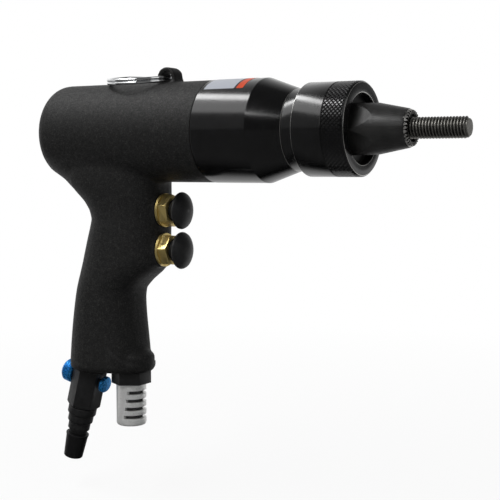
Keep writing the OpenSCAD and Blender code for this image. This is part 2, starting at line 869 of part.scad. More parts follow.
// Mandrel: plain at thread size, relieved inside the nosepiece, headed and socketed behind
module mandrel() {
  r = mandrel_d / 2;
  head_r = mandrel_head_d / 2;
  color(dark_steel)
    difference() {
      turned([
        [mandrel_reach, 0],
        [mandrel_reach, r - mandrel_chamfer],
        [mandrel_reach - mandrel_chamfer, r],
        [0, r],
        [-(r - relief_d / 2), relief_d / 2],
        [-relief_l, relief_d / 2],
        [-relief_l - (r - relief_d / 2), r],
        [x_head, r],
        [x_head, head_r],
        [x_head_back, head_r],
        [x_head_back, 0]
      ]);
      hex_x(x_head_back - cut, x_head_back + drive_socket_l, drive_socket_af);
    }
}

// Fixed half of the thrust bearing: washer, roller cage and rollers
module thrust_bearing() {
  rollers = 12;
  inner = mandrel_bore_r + journal_gap;
  outer = thrust_d / 2;
  cage_inset = 0.4;
  pocket_gap = 0.1;
  mid_r = (inner + outer) / 2;
  roller_l = (outer - inner) * 0.55;
  x_rollers = x_thrust - thrust_roller_d / 2;
  cage_half = thrust_roller_d * 0.3;
  color("silver") {
    tube_x(x_thrust, x_flange, inner, outer);
    difference() {
      tube_x(x_rollers - cage_half, x_rollers + cage_half, inner + cage_inset, outer - cage_inset);
      for (i = [0:rollers - 1])
        rotate([i * 360 / rollers, 0, 0])
          translate([x_rollers, 0, mid_r])
            cube(
              [2 * thrust_roller_d, thrust_roller_d + 2 * pocket_gap, roller_l + 2 * pocket_gap],
              center = true
            );
    }
    for (i = [0:rollers - 1])
      rotate([i * 360 / rollers, 0, 0])
        translate([x_rollers, 0, mid_r - roller_l / 2])
          cylinder(h = roller_l, d = thrust_roller_d - press_gap);
  }
}

// Washer under the mandrel head, turning with it
module thrust_washer() {
  color("silver")
    tube_x(x_head, x_turning_washer, mandrel_d / 2 + press_gap, thrust_d / 2);
}

// Hexagonal bit that drives the mandrel
module drive_bit() {
  color("gray")
    hex_x(x_bit_back, x_bit_front, drive_af);
}

module spindle_bearing_outer() {
  color("lightgray")
    bearing_outer(x_bearing_back, x_bearing, spindle_d / 2, spindle_bearing_d / 2, 9);
}

module spindle_bearing_inner() {
  color("lightgray")
    bearing_inner(x_bearing_back, x_bearing, spindle_d / 2 + press_gap, spindle_bearing_d / 2 + press_gap);
}

// Spindle and planet carrier in one piece
module planet_carrier() {
  shoulder_h = 1.5;
  shoulder_r = spindle_d / 2 + shoulder_h;
  color("dimgray")
    difference() {
      union() {
        bar_x(x_carrier_back, x_spindle_front, spindle_d / 2);
        bar_x(x_carrier_back, x_bearing_back, shoulder_r);
        bar_x(x_carrier_back, x_carrier, carrier_d / 2);
      }
      hex_x(x_bit_back - face_gap, x_spindle_front + cut, drive_socket_af);
      for (i = [0:planet_count - 1])
        at_planet(i)
          bar_x(x_carrier_back - cut, x_carrier + cut, planet_pin_d / 2 + press_gap);
    }
}

// Pins that carry the planet gears
module planet_pins() {
  color("silver")
    for (i = [0:planet_count - 1])
      at_planet(i)
        bar_x(x_planet_back - planet_end_gap / 3, x_carrier, planet_pin_d / 2);
}

// Planet gear i, a gap of its teeth turned to the pinion and one to the ring
module planet_gear(i) {
  root = planet_pitch_r - dedendum;
  tip = planet_pitch_r + addendum;
  color("goldenrod")
    at_planet(i)
      difference() {
        rotate([180 / planet_teeth, 0, 0])
          gear_x(x_planet_back, x_planet, gear_outline(planet_teeth, root, tip, backlash));
        bar_x(x_planet_back - cut, x_planet + cut, planet_pin_d / 2 + run_gap);
      }
}

// Ring gear, an inward tooth facing each planet
module ring_gear() {
  inner = ring_pitch_r - addendum;
  outer = ring_pitch_r + dedendum;
  color("slategray")
    difference() {
      bar_x(x_ring_back, x_ring, core_piece_r);
      rotate([180 / ring_teeth, 0, 0])
        gear_x(x_ring_back - cut, x_ring + cut, gear_outline(ring_teeth, inner, outer, -backlash));
    }
}

// Front end plate of the motor, with the seat of the front bearing
module front_end_plate() {
  seat_r = front_bearing_d / 2 + press_gap;
  seat_back = x_front_seat - motor_bearing_w;
  journal_r = front_journal_d / 2 + journal_gap;
  color("lightsteelblue")
    turned([
      [x_ring_back, seat_r],
      [x_ring_back, core_piece_r],
      [x_plate_back, core_piece_r],
      [x_plate_back, journal_r],
      [seat_back, journal_r],
      [seat_back, seat_r]
    ]);
}

module front_bearing_outer() {
  x0 = x_front_seat - motor_bearing_w;
  color("lightgray")
    bearing_outer(x0, x_front_seat, front_journal_d / 2, front_bearing_d / 2, 9);
}

module front_bearing_inner() {
  x0 = x_front_seat - motor_bearing_w;
  color("lightgray")
    bearing_inner(x0, x_front_seat, front_journal_d / 2 + press_gap, front_bearing_d / 2 + press_gap);
}

// Rotor with its pinion in front and a journal at each end
module rotor() {
  r = rotor_d / 2;
  x_back = x_rotor - rotor_l;
  sun_root = sun_pitch_r - dedendum;
  sun_tip = sun_pitch_r + addendum;
  x_journal = x_planet_back - planet_end_gap / 2;
  color("darkgray")
    union() {
      gear_x(x_journal, x_pinion, gear_outline(sun_teeth, sun_root, sun_tip, backlash));
      bar_x(x_rotor, x_journal, front_journal_d / 2);
      bar_x(x_rotor_tail, x_back, rear_journal_d / 2);
      difference() {
        bar_x(x_back, x_rotor, r);
        for (i = [0:vane_count - 1])
          rotate([i * 360 / vane_count, 0, 0])
            translate([x_back - cut, -vane_slot_w / 2, r - vane_slot_h])
              cube([rotor_l + 2 * cut, vane_slot_w, vane_slot_h + cut]);
      }
    }
}

// Vanes, drawn in at the bottom of their slots
module rotor_vanes() {
  r = rotor_d / 2;
  vane_h = vane_slot_h - vane_draw_in;
  color("saddlebrown")
    for (i = [0:vane_count - 1])
      rotate([i * 360 / vane_count, 0, 0])
        translate([x_rotor - rotor_l, -vane_t / 2, r - vane_slot_h + face_gap])
          cube([rotor_l, vane_t, vane_h]);
}

// Motor cylinder, its bore off the rotor axis, with a row of air ports on each side
module motor_cylinder() {
  color("lightsteelblue")
    difference() {
      bar_x(x_liner_back, x_plate_back, core_piece_r);
      translate([0, 0, -rotor_offset])
        bar_x(x_liner_back - cut, x_plate_back + cut, liner_bore_r);
      for (i = [1:port_count])
        for (turn = [40, -40])
          rotate([turn, 0, 0])
            translate([x_plate_back - i * liner_l / (port_count + 1), 0, -core_r - cut])
              cylinder(h = core_r - liner_bore_r + rotor_offset + 2 * cut, d = port_d);
    }
}

// Rear end plate of the motor, with the seat of the rear bearing
module rear_end_plate() {
  back = x_liner_back - rear_plate_l;
  seat_r = rear_bearing_d / 2 + press_gap;
  journal_r = rear_journal_d / 2 + journal_gap;
  color("lightsteelblue")
    turned([
      [x_liner_back, journal_r],
      [x_liner_back, core_piece_r],
      [back, core_piece_r],
      [back, seat_r],
      [x_rear_seat, seat_r],
      [x_rear_seat, journal_r]
    ]);
}

module rear_bearing_outer() {
  color("lightgray")
    bearing_outer(x_rotor_tail, x_rear_seat, rear_journal_d / 2, rear_bearing_d / 2, 7);
}

module rear_bearing_inner() {
  inner = rear_journal_d / 2 + press_gap;
  color("lightgray")
    bearing_inner(x_rotor_tail, x_rear_seat, inner, rear_bearing_d / 2 + press_gap);
}

// Brass bush of a valve: shank, flange and hexagon round the button's neck
module valve_bush(i) {
  clear_r = bush_af / 2 / cos(30) + cut;
  color("goldenrod")
    at_valve(i)
      difference() {
        union() {
          bar_x(-bush_shank_l, 0, bush_shank_d / 2);
          bar_x(0, bush_flange_l, bush_flange_d / 2);
          intersection() {
            rotate([bush_turn[i], 0, 0])
              hex_x(bush_flange_l, bush_front, bush_af);
            turned([
              [0, 0],
              [bush_front, 0],
              [bush_front, bush_af / 2],
              [bush_front - (clear_r - bush_af / 2) * tan(30), clear_r],
              [0, clear_r]
            ]);
          }
        }
        bar_x(bush_seat, bush_front + cut, bush_bore_r);
        bar_x(-bush_shank_l - cut, bush_seat + cut, stem_d / 2 + run_gap);
      }
}

// Button: domed cap on a neck that slides in the bush
module button(i) {
  cap_back = button_back + button_collar_l;
  rim_front = cap_back + button_rim_l;
  cap_r = button_d / 2;
  collar_r = button_collar_d / 2;
  edge = button_rim_l * 0.35;
  dome_r = (cap_r * cap_r + button_dome_h * button_dome_h) / (2 * button_dome_h);
  half_angle = asin((cap_r - edge) / dome_r);
  dome_top = rim_front + button_dome_h;
  dome = arc([dome_top - dome_r, 0], dome_r, 0, half_angle, 8);
  color(rubber_black)
    at_valve(i)
      difference() {
        turned(concat(
          [[button_tail, 0]],
          dome,
          [[rim_front - edge, cap_r], [cap_back + edge, cap_r], [cap_back, cap_r - edge]],
          [[cap_back, collar_r], [button_back, collar_r]],
          [[button_back, button_neck_d / 2], [button_tail, button_neck_d / 2]]
        ));
        bar_x(button_tail - cut, stem_front, stem_d / 2 + press_gap);
      }
}

// Stem that the button pushes, with the poppet on its inner end
module valve_stem(i) {
  color("silver")
    at_valve(i)
      union() {
        bar_x(stem_back, stem_front, stem_d / 2);
        bar_x(stem_back, stem_back + poppet_l, poppet_d / 2);
      }
}

// Rubber washer that closes against the bush
module valve_seal(i) {
  color(rubber_black)
    at_valve(i)
      tube_x(seal_front - seal_l, seal_front, stem_d / 2 + press_gap, poppet_d / 2);
}

// Coil spring under the button's neck
module button_spring(i) {
  side_gap = 0.3;
  r = button_neck_d / 2 - spring_wire_d / 2 - side_gap;
  lower = bush_seat + spring_wire_d / 2 + face_gap;
  upper = button_tail - spring_wire_d / 2 - face_gap;
  steps = 14;
  wire_sides = 8;
  rings = round(spring_turns * steps);
  color("silver")
    at_valve(i)
      loft([
        for (k = [0:rings])
          let (
            a = k * 360 / steps,
            x = lower + (upper - lower) * k / rings
          )
          [
            for (s = [0:wire_sides - 1])
              let (
                w = -s * 360 / wire_sides,
                out = r + spring_wire_d / 2 * cos(w)
              )
              [x + spring_wire_d / 2 * sin(w), out * cos(a), out * sin(a)]
          ]
      ]);
}

// Split ring of two coils, through the lug and lying back over the barrel
module hang_ring() {
  color("silver")
    translate([x_lug, 0, z_lug_hole])
      rotate([ring_roll, 0, 0])
        translate([-ring_mean_r, 0, 0])
          rotate_extrude()
            for (side = [-0.5, 0.5])
              translate([ring_mean_r, side * ring_coil_step])
                circle(d = ring_wire_d, $fn = 32);
}

// Hexagonal inlet body with the cross bore of the regulator
module inlet_body() {
  corner_d = inlet_af / cos(30);
  chamfer_in = 0.6;
  clear_r = corner_d / 2 + cut;
  chamfer_l = (clear_r - inlet_af / 2 + chamfer_in) * tan(30);
  color(satin_black)
    difference() {
      union() {
        at_inlet()
          translate([0, 0, -s_hex - cut])
            cylinder(h = inlet_shank_l + cut, d = inlet_shank_d);
        intersection() {
          at_inlet()
            translate([0, 0, -s_nipple])
              rotate([0, 0, 30])
                cylinder(h = inlet_hex_l, d = corner_d, $fn = 6);
          at_inlet()
            turned_z([
              [0, -s_nipple],
              [inlet_af / 2 - chamfer_in, -s_nipple],
              [clear_r, -s_nipple + chamfer_l],
              [clear_r, -s_hex],
              [0, -s_hex]
            ]);
        }
      }
      at_inlet()
        translate([0, 0, -s_nipple - cut])
          cylinder(h = inlet_hex_l + inlet_shank_l + 2 * cut, d = air_way_d);
      at_inlet()
        translate([0, 0, -s_nipple - cut])
          cylinder(h = nipple_shank_l + face_gap + cut, d = nipple_d - 2 * nipple_step + 2 * press_gap);
      at_regulator()
        bar_x(-inlet_af, inlet_af, regulator_d / 2 + run_gap);
    }
}

// Cross spindle of the air regulator, drilled for the air, with a disc in front
module regulator_spindle() {
  half_l = inlet_af / 2;
  neck_end = half_l + regulator_neck_l;
  knob_front = half_l + knob_neck_l;
  neck_r = regulator_neck_d / 2;
  color(anodised_blue)
    at_regulator()
      difference() {
        turned([
          [-knob_front - knob_l / 2, 0],
          [-knob_front - knob_l / 2, neck_r],
          [-half_l, neck_r],
          [-half_l, regulator_d / 2],
          [half_l, regulator_d / 2],
          [half_l, neck_r],
          [neck_end, neck_r],
          [neck_end, disc_d / 2],
          [neck_end + disc_l * 0.7, disc_d / 2],
          [neck_end + disc_l, disc_d / 2 - disc_l * 0.3],
          [neck_end + disc_l, 0]
        ]);
        translate([0, 0, -regulator_d])
          cylinder(h = 2 * regulator_d, d = regulator_way_d);
      }
}

// Knob on the back end of the regulator spindle
module regulator_knob() {
  front = -inlet_af / 2 - knob_neck_l;
  back = front - knob_l;
  r = knob_d / 2;
  edge = knob_l * 0.16;
  color(anodised_blue)
    at_regulator()
      difference() {
        turned([
          [front, 0],
          [front, r - edge],
          [front - edge, r],
          [back + edge, r],
          [back, r - edge],
          [back, 0]
        ]);
        bar_x(front - knob_l / 2 - face_gap, front + cut, regulator_neck_d / 2 + press_gap);
      }
}

// Stepped nipple screwed into the inlet body, with the plug end for the hose
module inlet_nipple() {
  shank_r = nipple_d / 2 - nipple_step;
  bevel = 0.5;
  neck_r = plug_d / 2 + plug_shoulder;
  ring_points = [
    for (i = [0:nipple_rings - 1])
      let (
        r = (nipple_d - i * nipple_step) / 2,
        s = s_nipple + i * nipple_ring_l
      )
      each [[r - bevel, -s], [r, -s - bevel], [r, -s - nipple_ring_l + bevel],
        [r - bevel, -s - nipple_ring_l]]
  ];
  color(satin_black)
    at_inlet()
      turned_z(concat(
        [[nipple_bore_d / 2, nipple_shank_l - s_nipple], [shank_r, nipple_shank_l - s_nipple]],
        [[shank_r, -s_nipple]],
        ring_points,
        [[neck_r, -s_neck], [neck_r, -s_plug], [plug_d / 2, -s_plug]],
        [[plug_d / 2, -s_plug - plug_l + bevel], [plug_d / 2 - bevel, -s_plug - plug_l]],
        [[nipple_bore_d / 2, -s_plug - plug_l]]
      ));
}

// Tapered dust cap pushed over the plug end
module dust_cap() {
  bore_r = plug_d / 2 + run_gap;
  mouth = -s_plug - face_gap;
  end_r = cap_end_d / 2;
  rim_r = cap_rim_d / 2;
  rim_l = 0.8;
  rim_step = 0.3;
  color(rubber_black)
    at_inlet()
      turned_z(concat(
        [[bore_r, mouth], [rim_r, mouth], [rim_r, mouth - rim_l]],
        [[rim_r - rim_step, mouth - rim_l - rim_step]],
        arc([end_r - cap_round, -s_cap_end + cap_round], cap_round, 0, -90, 4),
        [[0, -s_cap_end], [0, -s_cap_end + cap_floor], [bore_r, -s_cap_end + cap_floor]]
      ));
}

// Silencer tube: shank up into the housing, closed bottom, saw cuts across the front
module silencer() {
  r = silencer_d / 2;
  top = z_foot - collar_l;
  bottom = top - silencer_l;
  bore_r = r - silencer_wall;
  first = top - slot_down;
  color(blasted_grey)
    translate([x_silencer, 0, 0])
      difference() {
        turned_z(concat(
          [[bore_r, z_foot + silencer_shank_l]],
          [[silencer_shank_d / 2, z_foot + silencer_shank_l], [silencer_shank_d / 2, top], [r, top]],
          arc([r - silencer_round, bottom + silencer_round], silencer_round, 0, -90, 6),
          [[0, bottom], [0, bottom + silencer_wall], [bore_r, bottom + silencer_wall]]
        ));
        for (i = [0:slot_count - 1])
          translate([slot_ahead - i * slot_deeper, -silencer_d, first - i * slot_pitch - slot_h])
            cube([silencer_d, 2 * silencer_d, slot_h]);
      }
}

// Hexagonal collar between the silencer and the foot
module silencer_collar() {
  color(satin_black)
    translate([x_silencer, 0, z_foot - collar_l])
      difference() {
        rotate([0, 0, 30])
          cylinder(h = collar_l, d = collar_af / cos(30), $fn = 6);
        translate([0, 0, -cut])
          cylinder(h = collar_l + 2 * cut, d = silencer_shank_d + 2 * press_gap);
      }
}

// Felt that damps the exhaust inside the silencer
module silencer_felt() {
  top = z_foot - collar_l;
  floor_z = top - silencer_l + silencer_wall + face_gap;
  color(felt_grey)
    translate([x_silencer, 0, floor_z])
      cylinder(h = top - floor_z, d = silencer_d - 2 * silencer_wall - 2 * run_gap);
}

housing();
gear_case();
sleeve();
nosepiece();
mandrel();
thrust_bearing();
thrust_washer();
drive_bit();
spindle_bearing_outer();
spindle_bearing_inner();
planet_carrier();
planet_pins();
planet_gear(0);  // planet_gear_1
planet_gear(1);  // planet_gear_2
planet_gear(2);  // planet_gear_3
ring_gear();
front_end_plate();
front_bearing_outer();
front_bearing_inner();
rotor();
rotor_vanes();
motor_cylinder();
rear_end_plate();
rear_bearing_outer();
rear_bearing_inner();
valve_bush(0);  // upper_valve_bush
valve_bush(1);  // lower_valve_bush
button(0);  // upper_button
button(1);  // lower_button
valve_stem(0);  // upper_valve_stem
valve_stem(1);  // lower_valve_stem
valve_seal(0);  // upper_valve_seal
valve_seal(1);  // lower_valve_seal
button_spring(0);  // upper_button_spring
button_spring(1);  // lower_button_spring
hang_ring();
inlet_body();
regulator_spindle();
regulator_knob();
inlet_nipple();
dust_cap();
silencer();
silencer_collar();
silencer_felt();
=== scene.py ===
import json
import math

import bmesh
import bpy
from bpy.props import FloatProperty, FloatVectorProperty, IntProperty, PointerProperty
from bpy.types import Operator, Panel, PropertyGroup
from mathutils import Matrix, Vector

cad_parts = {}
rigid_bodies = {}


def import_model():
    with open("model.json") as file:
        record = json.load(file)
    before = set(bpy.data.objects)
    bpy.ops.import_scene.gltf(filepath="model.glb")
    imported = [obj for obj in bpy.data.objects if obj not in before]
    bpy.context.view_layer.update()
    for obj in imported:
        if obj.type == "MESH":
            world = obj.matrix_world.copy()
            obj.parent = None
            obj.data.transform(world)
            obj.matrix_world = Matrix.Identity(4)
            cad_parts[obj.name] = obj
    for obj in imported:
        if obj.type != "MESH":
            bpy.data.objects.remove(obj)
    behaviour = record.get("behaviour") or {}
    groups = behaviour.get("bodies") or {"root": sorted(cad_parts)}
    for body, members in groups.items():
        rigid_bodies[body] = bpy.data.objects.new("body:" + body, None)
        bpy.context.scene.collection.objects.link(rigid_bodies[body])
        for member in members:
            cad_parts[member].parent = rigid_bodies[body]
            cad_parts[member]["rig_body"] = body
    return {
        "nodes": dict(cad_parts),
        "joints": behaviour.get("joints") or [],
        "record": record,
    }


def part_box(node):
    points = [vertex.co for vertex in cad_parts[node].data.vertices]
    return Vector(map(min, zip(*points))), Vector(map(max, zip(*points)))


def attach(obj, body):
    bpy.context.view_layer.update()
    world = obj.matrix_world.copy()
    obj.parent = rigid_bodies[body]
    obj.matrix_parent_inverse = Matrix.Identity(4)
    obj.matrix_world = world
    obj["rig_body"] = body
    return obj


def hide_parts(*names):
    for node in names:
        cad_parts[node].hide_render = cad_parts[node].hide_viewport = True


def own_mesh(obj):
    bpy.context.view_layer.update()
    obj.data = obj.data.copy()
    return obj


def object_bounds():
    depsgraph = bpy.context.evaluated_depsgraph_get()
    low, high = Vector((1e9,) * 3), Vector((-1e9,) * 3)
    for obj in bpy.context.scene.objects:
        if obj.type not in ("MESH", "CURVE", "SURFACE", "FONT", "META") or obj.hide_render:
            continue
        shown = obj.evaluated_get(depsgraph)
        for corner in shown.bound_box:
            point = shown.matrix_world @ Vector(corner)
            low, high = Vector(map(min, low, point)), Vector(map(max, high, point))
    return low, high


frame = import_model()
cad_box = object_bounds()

bl_info = {
    "name": "Rivet nut tool",
    "version": (1, 0, 0),
    "blender": (4, 5, 0),
    "location": "View3D > Sidebar > Rivet nut tool",
    "description": "Dresses the solids of a pneumatic rivet nut tool: coat, knurls, thread, ring and trim",
    "category": "Object",
}

MM = 0.001
X_AXIS = Vector((1, 0, 0))
Y_AXIS = Vector((0, 1, 0))
Z_AXIS = Vector((0, 0, 1))
# Corners nearer to each other than this, in metres, are one
WELD = 2e-6
# Faces round a turned piece that has no knurl
TURN_STEPS = 48
# Most of a noise lies between these values
NOISE_LOW, NOISE_HIGH = 0.3, 0.7


# Sizes and colours

def length(name, description, millimetres):
    """A size in the sidebar, written in millimetres."""
    return FloatProperty(name=name, description=description, default=millimetres * MM, min=0.0,
                         unit="LENGTH", precision=5)


def angle(name, description, degrees):
    """An angle in the sidebar, written in degrees."""
    return FloatProperty(name=name, description=description, default=math.radians(degrees),
                         subtype="ANGLE")


def passes(name, description, value):
    """A number of smoothing passes in the sidebar."""
    return IntProperty(name=name, description=description, default=value, min=0)


def colour(name, description, value):
    """A colour in the sidebar."""
    return FloatVectorProperty(name=name, description=description, default=value, size=3, min=0.0,
                               max=1.0, subtype="COLOR")


def power(name, description, watts):
    """A lamp's power in the sidebar."""
    return FloatProperty(name=name, description=description, default=watts, min=0.0, unit="POWER")


class HousingLook(PropertyGroup):
    """Cast housing under its coat."""
    grain: length("Skin grain", "Edge length of the faces of the skin", 0.8)
    spare: length("Spare length", "Length added in front of the seam before it is cut flat", 3.0)
    ease_passes: passes("Edge easing", "Smoothing passes on every edge", 3)
    fillet_passes: passes("Root fillet", "Smoothing passes where the grip meets the barrel", 12)
    fillet_reach: length("Fillet reach", "How far the root fillet reaches from the barrel", 2.6)
    fillet_back: length("Fillet front", "From the nosepiece face back to the fillet", 134.5)
    fillet_drop: length("Fillet top", "Depth of its upper end below the barrel axis", 8.0)
    heel_passes: passes("Heel", "Smoothing passes where the grip's back meets the barrel's end", 120)
    heel_back: length("Heel front", "From the nosepiece face back to the heel", 186.0)
    heel_top: length("Heel top", "Depth of its upper end below the barrel axis", 13.0)
    heel_foot: length("Heel foot", "Depth of its lower end below the barrel axis", 41.0)
    coat: colour("Coat", "Dark of the powder coat", (0.005, 0.005, 0.0051))
    speck: colour("Speck", "Light specks of the powder coat", (0.034, 0.0335, 0.032))
    speck_size: length("Speck size", "Size of the specks", 0.55)


class FootLook(PropertyGroup):
    """Ridge on the foot of the grip, over the exhaust."""
    stand: length("Ridge", "How far the foot stands out below the ridge", 1.1)
    drop: length("Ridge drop", "Depth of the ridge's lowest spot below its rear end", 5.6)
    ahead: length("Dip ahead", "Distance of the lowest spot ahead of the exhaust's middle", 10.5)
    lift: length("Dip height", "Height of the lowest spot above the collar", 5.3)
    rear: length("Rear part", "Length of the ridge behind its lowest spot", 11.0)
    front: length("Front part", "Length of the ridge ahead of its lowest spot", 3.2)
    top: length("Top", "Height above the collar where the foot's reach ends", 15.0)
    soft: length("Softness", "Height over which the foot comes out below the ridge", 1.1)
    fade: length("Fade", "Length over which the ridge fades out towards the back", 7.0)
    fade_back: length("Fade end", "Distance of the faded end behind the exhaust's middle", 6.3)


class FrontLook(PropertyGroup):
    """Gear case, sleeve and nosepiece."""
    gloss: colour("Gloss black", "Black oxide of case and sleeve", (0.002, 0.002, 0.0022))
    satin: colour("Satin black", "Black oxide of the nosepiece", (0.012, 0.0115, 0.011))
    # Bare steel on edges and teeth, standing for wear and also as a painted highlight on the rims and painted
    # glints on the teeth
    worn_glint: colour("Worn edge", "Bare steel on worn edges", (0.62, 0.61, 0.585))
    edge: length("Edge", "Width of the eased edges", 0.14)
    # How far the bare steel reaches back from the case's front: wear, and a painted highlight on its rim
    rim_wear_glint: length("Rim wear", "How far wear reaches back from the case's front", 1.2)
    seam_gap: length("Seam gap", "Width of the dark line between housing and gear case", 0.5)
    seam_depth: length("Seam depth", "Depth of that line, down to the spigot", 2.0)
    chamfer: length("Sleeve chamfer", "Chamfer on the front edge of the sleeve", 0.7)
    knurl_pitch: length("Knurl pitch", "Distance between the grooves of the sleeve's knurl", 2.2)
    knurl_depth: length("Knurl depth", "Depth of those grooves", 0.32)
    knurl_groove: length("Groove flank", "Width of a flank of those grooves", 0.36)
    knurl_width: length("Knurl width", "Width of the knurled band", 10.6)
    nose_edge: length("Nose edge", "Width of the nosepiece's eased edges", 0.12)
    # How far the bright lands reach back on the teeth: wear, and painted glints
    tooth_wear_glint: length("Tooth wear", "How far wear on the teeth reaches back", 1.3)


class MandrelLook(PropertyGroup):
    """Threaded mandrel."""
    pitch: length("Thread pitch", "Advance of the thread in one turn", 1.5)
    depth: length("Thread depth", "Depth of the thread", 0.92)
    tip_r: length("Thread radius", "Radius over the crests of the thread", 5.0)
    inside: length("Thread inside", "Length of the thread behind the nosepiece face", 1.0)
    chamfer: length("Tip chamfer", "Chamfer on the end of the thread", 1.2)
    # Crest and root: the thread is painted light on its crests as a painted highlight, and dark in its roots
    # as painted shade
    crest: colour("Crest", "Rubbed crest of the thread", (0.27, 0.263, 0.243))
    root: colour("Root", "Dark root of the thread", (0.014, 0.0135, 0.012))


class TrimLook(PropertyGroup):
    """Buttons, bushes and hanging ring."""
    brass: colour("Brass", "Polished brass of the bushes", (0.74, 0.575, 0.225))
    rubber: colour("Rubber", "Rubber of the buttons", (0.011, 0.011, 0.0114))
    chrome: colour("Chrome", "Plating of the ring", (0.76, 0.77, 0.78))
    spring: colour("Spring", "Wire of the return springs", (0.5, 0.5, 0.51))
    cap_edge: length("Cap edge", "Width of the buttons' eased edges", 0.4)
    edge: length("Edge", "Width of the eased edges of bushes and wire", 0.2)
    hexagon: length("Hexagon", "Length of the bushes' hexagon, up to the flange", 5.1)
    wire: length("Ring wire", "Diameter of the ring wire", 1.7)
    ring: length("Ring", "Outside diameter of the ring", 37.0)
    coil_step: length("Coil step", "Distance between the middles of the two coils", 1.632)
    roll: angle("Ring roll", "Roll of the ring about the barrel direction", 7.0)
    jog: angle("Ring jog", "Where one coil of the ring steps over to the other", 118.0)
    jog_width: angle("Jog width", "Part of a turn that the step takes", 60.0)


class InletLook(PropertyGroup):
    """Air inlet and regulator."""
    blue: colour("Blue", "Anodised regulator", (0.03, 0.27, 0.66))
    black: colour("Black", "Blackened inlet", (0.0105, 0.0105, 0.0108))
    cap: colour("Cap", "Rubber of the dust cap", (0.006, 0.006, 0.0065))
    edge: length("Edge", "Width of the eased edges", 0.25)
    disc_back: length("Disc back", "Distance of the disc's rear from the inlet axis", 10.55)
    knurl_pitch: length("Knurl pitch", "Distance between the grooves of the knob", 1.0)
    knurl_groove: length("Groove flank", "Width of a flank of those grooves", 0.17)
    knurl_depth: length("Knurl depth", "Depth of those grooves", 0.2)


class SilencerLook(PropertyGroup):
    """Exhaust silencer and its collar."""
    metal: colour("Metal", "Blasted aluminium", (0.86, 0.86, 0.845))
    edge: length("Edge", "Width of the eased edges", 0.2)


class StickerLook(PropertyGroup):
    """Blank sticker on the gear case."""
    paper: colour("Paper", "White of the sticker", (0.44, 0.46, 0.51))
    band: colour("Band", "Orange band at the front", (0.62, 0.055, 0.004))
    back: length("Back", "From the nosepiece face back to the rear edge", 103.4)
    front: length("Front", "From the nosepiece face back to the front edge", 81.2)
    band_width: length("Band width", "Width of the orange band", 3.9)
    gap: length("Gap", "Bare strip between paper and band", 1.2)
    clear: length("Clearance", "Distance of the sticker from the case", 0.01)
    thick: length("Thickness", "Thickness of the sticker", 0.06)
    low: angle("Low edge", "Height of the lower edge round the case", 51.0)
    high: angle("High edge", "Height of the upper edge round the case", 118.0)


class InnerLook(PropertyGroup):
    """Motor, gears, bearings and valves inside."""
    bearing: colour("Bearing steel", "Bearing rings, balls, pins and stems", (0.6, 0.6, 0.61))
    gear: colour("Gear steel", "Gears, rotor and planet carrier", (0.4, 0.4, 0.41))
    iron: colour("Motor iron", "Motor cylinder and end plates", (0.26, 0.27, 0.28))
    bit: colour("Bit steel", "Drive bit", (0.16, 0.15, 0.14))
    fibre: colour("Fibre", "Vanes of the rotor", (0.3, 0.17, 0.08))
    seal: colour("Seal", "Rubber of the poppet seals", (0.015, 0.015, 0.015))
    felt: colour("Felt", "Felt inside the silencer", (0.05, 0.05, 0.05))


class StageLook(PropertyGroup):
    """Floor, lamps and camera."""
    floor: colour("Floor", "Pale floor", (0.9, 0.9, 0.9))
    room: length("Room", "Room over the floor for the dust cap when pulled", 15.0)
    key: power("Key", "Power of the strip above", 7.4)
    soft: power("Soft", "Power of the panel below the strip", 3.4)
    fill: power("Fill", "Power of the soft light at the rear", 0.7)
    side: power("Side", "Power of the soft light in front", 1.4)
    centre: FloatVectorProperty(name="Centre", description="Spot that the lamps face", size=3, unit="LENGTH",
                                subtype="TRANSLATION", default=(-0.11, 0.0, -0.06))
    lens: length("Lens", "Focal length on a sensor 36 mm wide", 82.8)


LOOKS = {
    "rnt_housing": HousingLook,
    "rnt_foot": FootLook,
    "rnt_front": FrontLook,
    "rnt_mandrel": MandrelLook,
    "rnt_trim": TrimLook,
    "rnt_inlet": InletLook,
    "rnt_silencer": SilencerLook,
    "rnt_sticker": StickerLook,
    "rnt_inner": InnerLook,
    "rnt_stage": StageLook,
}


# Materials

def rgba(value):
    return (*value, 1.0)


def preset(node, **values):
    """Sets a node's own inputs, named with low lines for spaces."""
    for key, value in values.items():
        node.inputs[key.replace("_", " ")].default_value = value


def spanned(tree, source, span, values=(0.0, 1.0)):
    """Maps a value from one span to another."""
    node = tree.nodes.new("ShaderNodeMapRange")
    preset(node, From_Min=span[0], From_Max=span[1], To_Min=values[0], To_Max=values[1])
    tree.links.new(source, node.inputs["Value"])
    return node.outputs["Result"]


def maths(tree, operation, one, other):
    """Joins two values by an operation."""
    node = tree.nodes.new("ShaderNodeMath")
    node.operation = operation
    tree.links.new(one, node.inputs[0])
    tree.links.new(other, node.inputs[1])
    return node.outputs["Value"]


